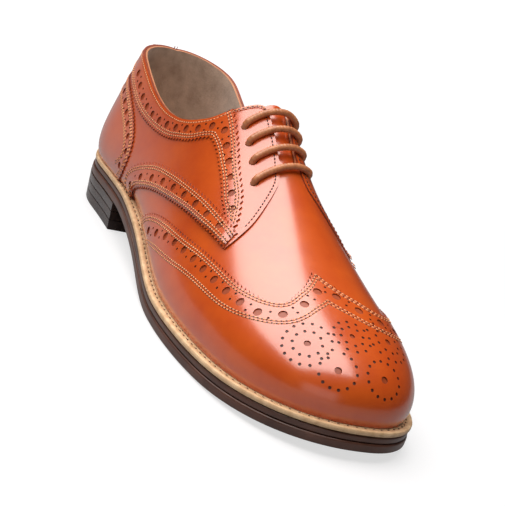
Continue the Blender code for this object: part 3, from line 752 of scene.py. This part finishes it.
def stamped(base, matrices, bm=None):
    """Copies of a small mesh, one for each matrix, in one bmesh."""
    bm = bm or bmesh.new()
    start, count = len(bm.verts), len(base.vertices)
    for _ in matrices:
        bm.from_mesh(base)
    bm.verts.ensure_lookup_table()
    for number, matrix in enumerate(matrices):
        for vert in bm.verts[start + number * count:start + (number + 1) * count]:
            vert.co = matrix @ vert.co
    return bm


def punch(thing, punches):
    """Cuts a list of (tool, matrix, diameter) out of a piece. Where two would touch, the
    leather between them would tear, so the later one is left out."""
    kept = []
    for tool, matrix, diameter in punches:
        if all((matrix.translation - other.translation).length > (diameter + size) / 2 + PUNCH_GAP
               for _, other, size in kept):
            kept.append((tool, matrix, diameter))
    bm = bmesh.new()
    for tool, matrix, _ in kept:
        stamped(tool, [matrix], bm)
        # each kept hole also gets a dark disc near its bottom: painted shade
        depth = HOLE_SHADE_DEPTH if tool is BIG_PUNCH else PINHOLE_SHADE_DEPTH
        hole_painted_shade[tool.name].append(matrix @ Matrix.Translation((0, 0, -depth / PUNCH_DEPTH))
                                      @ Matrix.Diagonal((1.05, 1.05, 0.06, 1)))
    cutter = in_scene(as_mesh(bm, "punches"), "punches")
    for material in thing.data.materials:
        cutter.data.materials.append(material)
    modifier = thing.modifiers.new("punches", "BOOLEAN")
    modifier.operation = "DIFFERENCE"
    modifier.object = cutter
    for solver in ("MANIFOLD", "EXACT", "FLOAT"):        # the next one is for when nothing was cut
        modifier.solver = solver
        shape = thing.evaluated_get(bpy.context.evaluated_depsgraph_get())
        cut = bpy.data.meshes.new_from_object(shape)
        if len(cut.polygons) > len(thing.data.polygons):
            break
    thing.modifiers.clear()
    thing.data = cut
    cut.name = thing.name
    cut.set_sharp_from_angle(angle=math.radians(SHARP_EDGE))
    bpy.data.objects.remove(cutter)
    print(f"{thing.name}: {len(kept)} of {len(punches)} punched, {len(cut.polygons)} faces, {solver}")


print("bead:", len(BEAD.polygons), "faces")


# %% Rows of holes and rows of stitches
def level(off, line):
    """A height over the last: one number, or worked out from the points of a line."""
    return off(line[:, 0]) if callable(off) else off


def punched_at(tool, line, off, diameter):
    """Punches of one diameter at each point of a line."""
    size = (diameter, diameter, PUNCH_DEPTH)
    return [(tool, matrix, diameter) for matrix in placements(line, level(off, line), size)]


def hole_row(line, count, off, hole=HOLE_DIAMETER):
    """Round holes evenly along a line, with a pair of pinholes between each two."""
    fine, _ = even_line(line, 2 * count - 1)
    row = punched_at(BIG_PUNCH, fine[::2], off, hole)
    for sign in (-1, 1):
        pair = beside(fine, sign * PINHOLE_APART / 2)[1::2]
        row += punched_at(SMALL_PUNCH, pair, off, PINHOLE_DIAMETER)
    return row


STITCH_PITCH, STITCH_WIDTH, STITCH_HEIGHT = 0.0021, 0.00076, 0.00062
STITCH_SHARE = 0.78              # the thread's part of each step; a dark bead of painted shade for the stitch hole takes the rest
# size of the dark bead that paints the shade in a stitch hole
STITCH_HOLE_SHADE = (0.00110, 0.00090, 0.00030)
stitch_rows = {"light": [], "dark": [], "painted_shade": []}


def stitch(line, off, tone="light"):
    """Places one row of stitches along a line."""
    count = max(2, round(even_line(line, 400)[1] / STITCH_PITCH))
    row, length = even_line(line, 2 * count + 1)
    off = level(off, row)
    size = (length / count * STITCH_SHARE, STITCH_WIDTH, STITCH_HEIGHT)
    stitch_rows[tone] += placements(row, off, size)[1::2]
    if tone == "light":
        # dark beads between the light stitches: painted shade in the stitch holes
        stitch_rows["painted_shade"] += placements(row, off, STITCH_HOLE_SHADE)[::2]


EDGE_ROWS = (0.0021, 0.0035)     # a double row of stitches stands this far in from a pinked edge
print("rows are ready")

# %% [markdown]
# ## Brogued bands
# One band runs along the collar and turns down the facing, and a second runs along the quarter's
# foot and crosses over the first at the front. Each is pinked on its free edges and punched along
# its middle. The L-shaped band is two runs of one grid that meet on the mitre at its corner.

# %% The band along collar and facing
BAND_ROWS = 9
COLLAR_HOLE_COUNT, FOOT_HOLE_COUNT = 17, 9
COLLAR_ROW = 0.0016              # the single row of stitches along the topline, in from its edge
COVERED_FROM = (0.6, 32.0)       # past these the foot band hides the collar band's stitches


def band_rows(low, high, side, teeth=True):
    """A strip of even columns between two lines. Its low edge is pinked, and the high edge too
    where it has teeth."""
    columns = tooth_columns(low)
    low, high = even_line(low, columns)[0], even_line(high, columns)[0]
    first, last = pinked(low, -side), pinked(high, side) if teeth else high
    middle = rows_between(beside(low, -PINK_ROW * side), beside(high, PINK_ROW * side), BAND_ROWS)
    return np.concatenate([first[:, None], middle, last[:, None]], 1)


def make_collar_band(side, label):
    inner_rear, inner_front = smooth_line(BAND_INNER_REAR, side), smooth_line(BAND_INNER_FRONT, side)
    collar = smooth_line(COLLAR, side, 2000)
    collar = collar[collar[:, 0] <= BAND_OUTER_FRONT[0][0]]
    collar[0, 1] = 0.4 * side
    outer_front = smooth_line(BAND_OUTER_FRONT, side)
    rear, front = band_rows(inner_rear, collar, side, False), band_rows(inner_front, outer_front, side)
    rear[-1] = (rear[-1] + front[0]) / 2     # the mitre at the corner
    grid = np.concatenate([rear, front[1:]])
    top = np.full(grid.shape[:2], BAND_TOP)
    top[:len(rear), -1] -= 0.0002            # skived along the collar
    band = leather(f"collar_band_{label}", grid, top, BAND_THICKNESS, replaces=(f"brogued_band_{label}",))
    punch(band, hole_row(smooth_line(COLLAR_HOLES, side), COLLAR_HOLE_COUNT, BAND_TOP))
    for distance in EDGE_ROWS:
        for line in (beside(chained(inner_rear, inner_front), -side * distance),
                     beside(outer_front, side * distance)):
            seen = (line[:, 0] < COVERED_FROM[0]) | (np.abs(line[:, 1]) < COVERED_FROM[1])
            stitch(line[seen], BAND_TOP)
    stitch(beside(smooth_line(COLLAR, side), side * COLLAR_ROW), BAND_TOP - 0.0001)


def foot_band_top(along):
    """Its height over the last: it rises where it crosses over the facing's band."""
    share = np.clip((along - FOOT_BAND_CROSSING[0]) / FOOT_BAND_CROSSING[1], 0, 1)
    return BAND_TOP + FOOT_BAND_LIFT * share * share * (3 - 2 * share)


def make_foot_band(side, label):
    low, high = smooth_line(QUARTER_FOOT, side), smooth_line(FOOT_BAND_CREST, side)
    grid = band_rows(low, high, side)
    top = foot_band_top(grid[..., 0])
    top[:, :2] -= FOOT_BAND_HAMMERED         # the overhanging edge is hammered down on the vamp
    top -= FOOT_BAND_TIP_DROP * thinning(len(grid), 8)[:, None]
    band = leather(f"foot_band_{label}", grid, top, BAND_THICKNESS)
    punch(band, hole_row(smooth_line(FOOT_HOLES, side), FOOT_HOLE_COUNT, foot_band_top))
    for distance in EDGE_ROWS:
        stitch(beside(low, -side * distance), foot_band_top)
        stitch(beside(high, side * distance), foot_band_top)


def sew_facing_edge(side):
    """The dark row on the quarter's smooth front edge, down to the foot band."""
    row = beside(smooth_line(FACING_FRONT, side), side * 0.0018)
    stitch(row[np.abs(row[:, 1]) < 29], QUARTER_TOP, "dark")


for side, label in SIDES:
    make_collar_band(side, label)
    make_foot_band(side, label)
    sew_facing_edge(side)

# %% [markdown]
# ## Wing cap, heel counter and backstay
# The cap is the shoe's signature: its edge runs back along both sides and comes to a point on the
# vamp. The counter cups the heel and the backstay covers the back seam.

# %% The wing cap
CAP_ROWS = 46
INNER_ROWS = (0.0122, 0.0136)    # the second double row of stitches, behind the holes
WING_HOLE_COUNT = 29


def make_wing_cap():
    columns = tooth_columns(wing_line(WING_EDGE))
    edge = wing_line(WING_EDGE, count=columns)
    foot = chained(welt_line(WING_WELT_END, 1, -1), end_line(1, -90, 90),
                   welt_line(1, WING_WELT_END, 1), count=columns)
    middle = rows_between(foot, wing_line(WING_EDGE, PINK_ROW, columns), CAP_ROWS)
    grid = np.concatenate([middle, pinked(edge, -1)[:, None]], 1)
    cap = leather("wing_cap_leather", grid, WING_TOP, WING_THICKNESS, replaces=("wing_cap",))
    punch(cap, hole_row(wing_line(WING_HOLES), WING_HOLE_COUNT, WING_TOP) + medallion())
    for distance in EDGE_ROWS + INNER_ROWS:
        stitch(wing_line(WING_EDGE, distance), WING_TOP)


# %% [markdown]
# A medallion is a rosette of punch marks on the toe. Each flower is one hole with rings of pinholes
# round it, in real millimetres, laid out on the leather round a spot of the toe.

# %% The medallion
# along, around and the centre hole; then the radius and the number of marks of two rings
FLOWERS = (
    (0.918, -1.0, 0.0024, 0.0052, 8, 0.0084, 12),
    (0.930, -22.5, 0.0030, 0.0062, 10, 0.0104, 16),
    (0.9526, -11.1, 0.0032, 0.0082, 14, 0.0, 0),
    (0.955, 9.5, 0.0032, 0.0082, 14, 0.0, 0),
    (0.917, 18.5, 0.0030, 0.0062, 10, 0.0104, 16),
)
MARK_DIAMETER = 0.0015


def around_spot(along, around, radius, count):
    """Chart points of a ring of this real radius round one spot of the last."""
    by_along, by_around = chart_slopes(along, around, 0.004, 1.0)
    x = by_along / np.linalg.norm(by_along)
    out = np.cross(by_along, by_around)
    y = np.cross(out / np.linalg.norm(out), x)
    angles = np.arange(count) * 2 * math.pi / count
    spots = radius * (np.cos(angles)[:, None] * x + np.sin(angles)[:, None] * y)
    chart = np.linalg.lstsq(np.stack([by_along, by_around], 1), spots.T, rcond=None)[0].T
    return chart + (along, around)


def medallion():
    """The punches of every flower, the big ones first."""
    big, small = [], []
    for along, around, centre, *rings in FLOWERS:
        big += punched_at(BIG_PUNCH, np.array([[along, around]]), WING_TOP, centre)
        for radius, count in (rings[:2], rings[2:]):
            if count:
                ring = around_spot(along, around, radius, count)
                small += punched_at(SMALL_PUNCH, ring, WING_TOP, MARK_DIAMETER)
    return big + small


make_wing_cap()

# %% The heel counter and the backstay
COUNTER_ROWS = 24
COUNTER_HOLE_LINE, COUNTER_HOLE_COUNT, COUNTER_HOLE_DIAMETER = 0.0060, 23, 0.0036
COUNTER_INNER_ROWS = (0.0088, 0.0100)
BACKSTAY_COLUMNS, BACKSTAY_ROWS = 33, 25


def make_counter():
    columns = tooth_columns(mirrored(COUNTER_EDGE))
    edge = mirrored(COUNTER_EDGE, count=columns)
    foot = chained(welt_line(COUNTER_WELT_END, 0, -1), end_line(0, -90, 90),
                   welt_line(0, COUNTER_WELT_END, 1), count=columns)
    middle = rows_between(foot, mirrored(COUNTER_EDGE, -PINK_ROW, columns), COUNTER_ROWS)
    grid = np.concatenate([middle, pinked(edge, 1)[:, None]], 1)
    counter = leather("counter_leather", grid, COUNTER_TOP, BAND_THICKNESS, replaces=("heel_counter",))
    holes = mirrored(COUNTER_EDGE, -COUNTER_HOLE_LINE)[20:-20]
    punch(counter, hole_row(holes, COUNTER_HOLE_COUNT, COUNTER_TOP, COUNTER_HOLE_DIAMETER))
    for distance in EDGE_ROWS + COUNTER_INNER_ROWS:
        stitch(mirrored(COUNTER_EDGE, -distance), COUNTER_TOP)


def make_backstay():
    ends = [even_line(smooth_line(rows), BACKSTAY_COLUMNS)[0] for rows in (BACKSTAY_FOOT, BACKSTAY_CREST)]
    grid = rows_between(*ends, BACKSTAY_ROWS)
    leather("backstay_leather", grid, BACKSTAY_TOP, BAND_THICKNESS, replaces=("backstay",))
    for at in (2, -3):
        stitch(grid[at, 1:-1], BACKSTAY_TOP)


make_counter()
make_backstay()

# %% [markdown]
# ## Tongue and laces
# The tongue is a soft leather plate under the facings. The lace is a round braided cord: a tube
# whose skin is waved along two crossing helices, as its strands cross. It comes up through a
# punched hole, lies over both facings and goes down through the hole on the other side.

# %% The tongue
TONGUE_START = 0.478
TONGUE_COLUMNS, TONGUE_ROWS = 81, 33
TONGUE_HALF_WIDTH = ((0.440, 11.0), (0.500, 16.0), (0.600, 17.0), (0.690, 12.0))
TONGUE_TOP = -0.0019             # its face, under the upper's wall
TONGUE_THICKNESS = 0.0016
TONGUE_ROUNDING = 0.020


def make_tongue():
    end = TONGUE_HALF_WIDTH[-1][0]
    width = spline(*np.transpose(TONGUE_HALF_WIDTH))
    along = TONGUE_START + (end - TONGUE_START) * np.linspace(0, 1, TONGUE_COLUMNS) ** 1.3
    corner = np.clip((TONGUE_START + TONGUE_ROUNDING - along) / TONGUE_ROUNDING, 0, 0.985)
    half = width(along) * np.sqrt(1 - corner ** 2)
    grid = np.empty((TONGUE_COLUMNS, TONGUE_ROWS, 2))
    grid[..., 0] = along[:, None]
    grid[..., 1] = half[:, None] * np.linspace(-1, 1, TONGUE_ROWS)
    leather("tongue_leather", grid, TONGUE_TOP, TONGUE_THICKNESS, (CALF, LINING, CALF_EDGE),
            replaces=("tongue",))


make_tongue()

# %% The laces
LACE_DIAMETER = 0.0032
LACE_STRANDS, LACE_TWIST, LACE_RELIEF = 5, 0.0085, 0.06
LACE_SIDES, LACE_RINGS, LACE_END = 24, 170, 0.0012
DIVE_START, DIVE_END = -1.6, 1.3  # degrees before and past the bar's end, where it goes down
DIVE_DEPTH, DIVE_BEND = 0.0009, 2.6
LACE = make_leather("waxed_lace", (0.64, 0.250, 0.105), (0.42, 0.140, 0.055), 0.40, coat=0.15,
                    pores=2400.0, mottle=300.0, bump=0.3)


def lace_tube(name, spots, replaces):
    """A braided round cord along a line of points, closed at both ends."""
    length = run_length(spots)
    ahead = np.gradient(spots, axis=0)
    ahead /= np.linalg.norm(ahead, axis=1)[:, None]
    side = np.cross(ahead, (1.0, 0, 0))
    side /= np.linalg.norm(side, axis=1)[:, None]
    other = np.cross(ahead, side)
    turn = np.linspace(0, 2 * math.pi, LACE_SIDES + 1)[None, :]
    wave = LACE_STRANDS * turn
    helix = 2 * math.pi * length[:, None] / LACE_TWIST * LACE_STRANDS / 2
    strands = np.cos(wave + helix) * np.cos(wave - helix)
    rounding = np.clip(np.minimum(length, length[-1] - length) / LACE_END, 0, 1)[:, None]
    radius = LACE_DIAMETER / 2 * (1 + LACE_RELIEF * strands) * np.sqrt(1 - (1 - rounding) ** 2)
    grid = (spots[:, None] + side[:, None] * (radius * np.cos(turn))[..., None]
            + other[:, None] * (radius * np.sin(turn))[..., None])
    bm, _, _ = moved_grid(grid)
    bmesh.ops.remove_doubles(bm, verts=bm.verts, dist=2e-6)
    bmesh.ops.recalc_face_normals(bm, faces=bm.faces)
    return put_up(bm, name, materials=(LACE,), replaces=replaces, sharp=ROUND)


def make_laces():
    height = QUARTER_TOP + LACE_DIAMETER / 2 - 0.0001
    for number, (along, half) in enumerate(zip(BAR_STATIONS, BAR_HALF_WIDTH), 1):
        around = np.linspace(-half - DIVE_END, LACE_INNER_REACH * half + DIVE_END, 600)
        past = np.maximum(-around - half, around - LACE_INNER_REACH * half)
        down = np.clip((past - DIVE_START) / (DIVE_END - DIVE_START), 0, 1)
        along = along + LACE_SLANT * number * (1 - 2 * (around - around[0]) / (around[-1] - around[0]))
        line = skin(along, around, height + (-DIVE_DEPTH - height) * down ** DIVE_BEND)
        length = run_length(line)
        spots = resampled(line, length, np.linspace(0, length[-1], LACE_RINGS))
        lace_tube(f"lace_{number}", spots, (f"lace_bar_{number}",))


def punch_eyelets():
    """The plain round holes that the laces go down through, without any metal."""
    for (side, label), reach in zip(SIDES, (1.0, LACE_INNER_REACH)):
        spots = np.array([(along - side * LACE_SLANT * number, side * (half * reach + 0.4))
                          for number, (along, half) in enumerate(zip(BAR_STATIONS, BAR_HALF_WIDTH), 1)])
        punch(bpy.data.objects[f"quarter_leather_{label}"],
              punched_at(BIG_PUNCH, spots, QUARTER_TOP, EYELET_DIAMETER))


make_laces()
punch_eyelets()

# %% [markdown]
# ## Welt, soles and heel
# Under the upper lie flat plates with one outline in plan. Each is a ring of columns round the
# outline and rows down its profile, from the middle of its top over the rounded edge to the
# middle of its underside. A bevel would round a plate too, but the rows let the heel taper and
# the welt have its stitch groove in the same way.

# %% Plates from an outline and a profile
STATIONS = 150


def side_lines(reach, tuck, breast=None):
    """The outline's outer and inner side at shared stations from the heel to the toe."""
    loop = grown_loop(reach, tuck)
    back = np.argmin(loop[:, 0])
    chain = np.roll(loop, -back, 0)
    front = np.argmax(chain[:, 0])
    outer, inner = chain[:front + 1], np.concatenate([chain[front:], chain[:1]])[::-1]
    start, end = chain[0, 0], chain[front, 0] if breast is None else breast
    share = np.linspace(0, 1, STATIONS + 1)
    share = (1 - np.cos(math.pi * share)) / 2 if breast is None else 1 - np.cos(math.pi / 2 * share)
    x = start + (end - start) * share
    return x, *[np.interp(x, np.maximum.accumulate(side[:, 0]), side[:, 1]) for side in (outer, inner)]


def ring_points(reach, tuck, breast, fullness=1.0):
    """A closed ring of plan points; fullness pulls it in towards the middle line."""
    x, outer, inner = side_lines(reach, tuck, breast)
    middle = (outer + inner) / 2
    left, right = middle + (outer - middle) * fullness, middle + (inner - middle) * fullness
    ring = [np.stack([x, left], -1)]
    if breast is not None:
        across = np.linspace(left[-1], right[-1], 12)[1:-1]
        ring.append(np.stack([np.full(10, x[-1]), across], -1))
    ring.append(np.stack([x, right], -1)[::-1])
    return np.concatenate(ring)


def rounded_edge(top, bottom, radius):
    """Rows of (inset, height) down a rounded edge."""
    turns = np.radians([0, 30, 60, 90])
    upper = [(radius * (1 - math.sin(t)), top - radius * (1 - math.cos(t))) for t in turns]
    lower = [(radius * (1 - math.cos(t)), bottom + radius * (1 - math.sin(t))) for t in turns]
    return upper + lower


def make_plate(name, reach, profile, materials, replaces, tuck=HEEL_SEAT_TUCK, breast=None):
    """A closed plate; profile is rows of (inset, height over the feather plane)."""
    rows = []
    ends = [(profile[0], 0.0), (profile[0], 0.5)], [(profile[-1], 0.5), (profile[-1], 0.0)]
    for (inset, height), fullness in ends[0] + [(row, 1.0) for row in profile] + ends[1]:
        ring = ring_points(reach - inset, tuck, breast, fullness)
        rows.append(raised(np.concatenate([ring, np.full((len(ring), 1), height)], 1)))
    spots = np.stack(rows, 1)
    spots = np.concatenate([spots, spots[:1]])
    bm, _, _ = moved_grid(spots)
    bmesh.ops.remove_doubles(bm, verts=bm.verts, dist=1e-5)
    bmesh.ops.dissolve_degenerate(bm, edges=bm.edges, dist=1e-6)
    bmesh.ops.recalc_face_normals(bm, faces=bm.faces)
    if len(materials) > 1:
        for face in bm.faces:
            face.material_index = int(face.normal.z < -0.7)
    return put_up(bm, name, materials=materials, replaces=replaces, sharp=50)


print("plates are ready")

# %% The soles and the heel
SOLE_EDGE_RADIUS, MIDSOLE_EDGE_RADIUS, LIFT_EDGE_RADIUS = 0.0008, 0.0006, 0.00025


def make_soles():
    """Midsole, outsole and heel, one under the other, with a hair's gap between them."""
    top = -WELT_THICKNESS - GAP
    bottom = top - MIDSOLE_THICKNESS
    make_plate("midsole_leather", MIDSOLE_REACH, rounded_edge(top, bottom, MIDSOLE_EDGE_RADIUS),
               (SOLE_EDGE,), ("midsole",))
    top = bottom - GAP
    bottom = top - OUTSOLE_THICKNESS
    make_plate("outsole_leather", OUTSOLE_REACH, rounded_edge(top, bottom, SOLE_EDGE_RADIUS),
               (SOLE_EDGE, SOLE_UNDER), ("outsole",))
    make_heel(bottom - GAP)


def make_heel(top):
    """Lifts and a top piece; the heel narrows evenly down to the floor."""
    ground = -float(sheet(0.0))
    height = top - ground
    lift = (height - TOP_PIECE_THICKNESS - LIFT_COUNT * GAP) / LIFT_COUNT
    layers = [(f"heel_lift_{number + 1}", lift) for number in range(LIFT_COUNT)]
    level = top
    for name, thickness in layers + [("heel_top_piece", TOP_PIECE_THICKNESS)]:
        profile = [(inset + HEEL_TAPER * (top - at) / height, at)
                   for inset, at in rounded_edge(level, level - thickness, LIFT_EDGE_RADIUS)]
        make_plate(f"{name}_leather", OUTSOLE_REACH, profile, (HEEL_EDGE,), (name,),
                   breast=HEEL_BREAST)
        level -= thickness + GAP


def make_insole():
    inset = UPPER_WALL + GAP * 3.5
    profile = rounded_edge(-WELT_THICKNESS + 0.0034, -WELT_THICKNESS, 0.0004)
    make_plate("insole_sock", -inset, profile, (LINING,), ("insole",), tuck=0.0)


make_soles()
make_insole()

# %% [markdown]
# ## The welt
# The welt is a strip of pale leather all the way round. Its thread lies in a groove a little way out from
# the upper, and dark beads between the stitches paint the shade of the stitch holes.

# %% The welt and its seam
WELT_PROFILE = ((-0.0012, 0.0), (0.0010, 0.0), (0.0018, -0.00005), (0.0021, -0.0003),
                (0.0025, -0.0003), (0.0028, -0.00005), (0.0044, 0.0), (0.0050, -0.0002),
                (0.0053, -0.0007), (0.0053, -0.0018), (0.0050, -0.0023), (0.0044, -0.0025),
                (-0.0012, -0.0025))
WELT_SEAM, WELT_SEAM_DEPTH = 0.0023, -0.0002
WELT_STITCH = 0.0042
WELT_THREAD_SIZE = (0.66, 0.0008, 0.0006)        # its part of each step, then width and height
# size of the dark beads that paint the shade in the welt's stitch holes
WELT_STITCH_HOLE_SHADE = (0.0012, 0.0009, 0.0003)


def welt_points(reach, height, count):
    """Evenly spaced points round the welt, drawn in at the heel in proportion to their reach."""
    loop = grown_loop(reach, HEEL_SEAT_TUCK * max(0.0, reach) / WELT_REACH)
    loop = np.concatenate([loop, loop[:1]])
    length = run_length(loop)
    ring = resampled(loop, length, np.linspace(0, length[-1], count + 1))
    return raised(np.concatenate([ring, np.full((count + 1, 1), height)], 1))


def make_welt():
    rows = [welt_points(reach, height, 620) for reach, height in WELT_PROFILE + WELT_PROFILE[:1]]
    bm, _, _ = moved_grid(np.stack(rows, 1))
    bmesh.ops.remove_doubles(bm, verts=bm.verts, dist=1e-6)
    bmesh.ops.recalc_face_normals(bm, faces=bm.faces)
    put_up(bm, "welt_strip", materials=(WELT_LEATHER,), replaces=("welt",))


def sew_welt():
    """Threads and dark beads of painted shade in the stitch holes take turns along the groove."""
    count = 2 * round(run_length(welt_points(WELT_SEAM, WELT_SEAM_DEPTH, 600))[-1] / WELT_STITCH)
    seam = welt_points(WELT_SEAM, WELT_SEAM_DEPTH, count)[:-1]
    up = np.tile((0.0, 0.0, 1.0), (count, 1))
    share, width, height = WELT_THREAD_SIZE
    thread = (run_length(seam)[-1] / count * 2 * share, width, height)
    for name, spots, size, first, material in (
            ("welt_stitches", seam, thread, 0, WELT_THREAD),
            # the second row is dark beads: painted shade in the stitch holes
            ("welt_stitch_hole_shade", seam + (0, 0, 0.0001), WELT_STITCH_HOLE_SHADE, 1, DARK_THREAD_AND_SHADE)):
        put_up(stamped(BEAD, frames(spots, up, size)[first::2]), name,
               materials=(material,), sharp=ROUND)


make_welt()
sew_welt()

# %% [markdown]
# ## Sewing it all together
# Every row that the pieces asked for is now stamped as one joined mesh for each colour of thread, with
# the dark beads of painted shade in the stitch holes as one more, and so are the dark discs of painted
# shade at the bottom of the punched holes.

# %% The threads, and the painted shade in the stitch holes and at the bottom of the punched holes
# The third row is dark beads, painted shade in the stitch holes, not thread
for tone, material in (("light", THREAD), ("dark", DARK_THREAD_AND_SHADE), ("painted_shade", DARK_THREAD_AND_SHADE)):
    put_up(stamped(BEAD, stitch_rows[tone]), f"stitches_{tone}", materials=(material,), sharp=ROUND)
# Dark discs of painted shade at the bottom of the holes and the pinholes
for name, tool, material in (("hole_painted_shade", BIG_PUNCH, PAINTED_HOLE_SHADE),
                             ("pinhole_painted_shade", SMALL_PUNCH, DARK_THREAD_AND_SHADE)):
    put_up(stamped(tool, hole_painted_shade[tool.name]), name, materials=(material,))

# %% [markdown]
# ## Camera, floor and light
# The camera stands at the photograph's angle to the shoe. The shoe stands level here, so the camera is
# rolled instead. The floor is plain grey, with a painted glow that only the camera sees and that makes it
# read pale, and large soft boxes give the polished leather its broad pale reflections.

# %% Camera
CAMERA_SPOT = (0.74725 - MIDDLE[0], -0.33339 - MIDDLE[1], 0.24026)
CAMERA_RIGHT = Vector((0.294, 0.907, 0.301))
CAMERA_FORWARD = Vector((-0.863, 0.388, -0.324))
PICTURE_WIDTH, PICTURE_HEIGHT = 505, 506
FOCAL_PIXELS = 1208.15
SHOE_MIDDLE = (372.0, 253.0)     # where the shoe's middle falls before the camera turns to it
CLOSER = 1.22                    # a longer lens, so that the shoe fills the frame
SENSOR = 36.0


def make_camera():
    data = bpy.data.cameras.new("camera")
    data.sensor_width = SENSOR
    data.sensor_fit = "VERTICAL"
    data.sensor_height = SENSOR
    data.lens = CLOSER * FOCAL_PIXELS * SENSOR / PICTURE_HEIGHT
    camera = in_scene(data, "camera")
    back = -CAMERA_FORWARD.normalized()
    right = (CAMERA_RIGHT - back * CAMERA_RIGHT.dot(back)).normalized()
    up = back.cross(right)
    across, down = SHOE_MIDDLE[0] - PICTURE_WIDTH / 2, SHOE_MIDDLE[1] - PICTURE_HEIGHT / 2
    back = (back * FOCAL_PIXELS - right * across + up * down).normalized()
    right = (right - back * right.dot(back)).normalized()
    up = back.cross(right)
    turn = Matrix((right, up, back)).transposed().to_4x4()
    camera.matrix_world = Matrix.Translation(CAMERA_SPOT) @ turn
    bpy.context.scene.camera = camera
    return camera


camera = make_camera()
print("camera:", [round(value, 3) for value in camera.location])


# %% The floor
FLOOR_RADIUS = 3.0
FLOOR_GREY = (0.32, 0.32, 0.33, 1)
FLOOR_GLOW = (0.66, 1.0)         # under the shoe, and far out where it meets the white backdrop
FLOOR_GLOW_REACH = (0.20, 1.30)


def make_floor():
    """A grey disc with a painted glow, to the camera alone, that grows towards its rim and makes it read
    pale.
    """
    bm = bmesh.new()
    bmesh.ops.create_circle(bm, cap_ends=True, segments=96, radius=FLOOR_RADIUS)
    floor = in_scene(as_mesh(bm, "floor"), "floor")
    material = bpy.data.materials.new("grey_floor_with_painted_glow")
    material.use_nodes = True
    tree = material.node_tree
    shader = tree.nodes["Principled BSDF"]
    for label, value in (("Base Color", FLOOR_GREY), ("Roughness", 0.35), ("Emission Strength", 1.0)):
        shader.inputs[label].default_value = value
    place = add(tree, "ShaderNodeTexCoord")
    far = add(tree, "ShaderNodeVectorMath", operation="LENGTH")
    wire(tree, place, "Object", far, 0)
    # painted light: the glow is weaker under the shoe and full far out
    glow = add(tree, "ShaderNodeMapRange", interpolation_type="SMOOTHSTEP",
               From_Min=FLOOR_GLOW_REACH[0], From_Max=FLOOR_GLOW_REACH[1],
               To_Min=FLOOR_GLOW[0], To_Max=FLOOR_GLOW[1])
    path = add(tree, "ShaderNodeLightPath")
    seen = add(tree, "ShaderNodeMath", operation="MULTIPLY")
    wire(tree, far, "Value", glow, "Value")
    wire(tree, glow, "Result", seen, 0)
    wire(tree, path, "Is Camera Ray", seen, 1)
    wire(tree, seen, "Value", shader, "Emission Color")
    floor.data.materials.append(material)


make_floor()
print("floor:", 2 * FLOOR_RADIUS, "m wide")


# %% Soft boxes and backdrop
BACKDROP = (0.04, 1.0)           # to the leather, and to the camera
OVERHEAD_SPOT = (-0.42, -0.58, 1.50)


def make_softbox(name, spot, aim, size, radiance, colour=(1, 1, 1)):
    """An area lamp; its power follows from the brightness that its face should show."""
    data = bpy.data.lights.new(name, "AREA")
    data.shape = "RECTANGLE"
    data.size, data.size_y = size
    data.energy = radiance * math.pi * size[0] * size[1]
    data.color = colour
    lamp = in_scene(data, name)
    lamp.location = spot
    lamp.rotation_euler = (Vector(aim) - Vector(spot)).to_track_quat("-Z", "Y").to_euler()


def make_backdrop():
    """White to the eye, but nearly dark to the leather, so that the polish keeps its depth."""
    world = bpy.data.worlds.new("studio")
    world.use_nodes = True
    tree = world.node_tree
    backdrop = tree.nodes["Background"]
    backdrop.inputs["Color"].default_value = (1, 1, 1, 1)
    path = add(tree, "ShaderNodeLightPath")
    level = add(tree, "ShaderNodeMapRange", To_Min=BACKDROP[0], To_Max=BACKDROP[1])
    wire(tree, path, "Is Camera Ray", level, "Value")
    wire(tree, level, "Result", backdrop, "Strength")
    bpy.context.scene.world = world


make_softbox("overhead_box", OVERHEAD_SPOT, (*OVERHEAD_SPOT[:2], 0.0), (2.4, 2.0), 4.2,
             (1.0, 0.97, 0.94))
make_softbox("front_box", (1.7, -0.9, 0.45), (0.0, 0.0, 0.05), (1.4, 0.8), 0.6)
make_backdrop()
bpy.context.scene.view_settings.view_transform = "Standard"
print("lights:", len(bpy.data.lights))
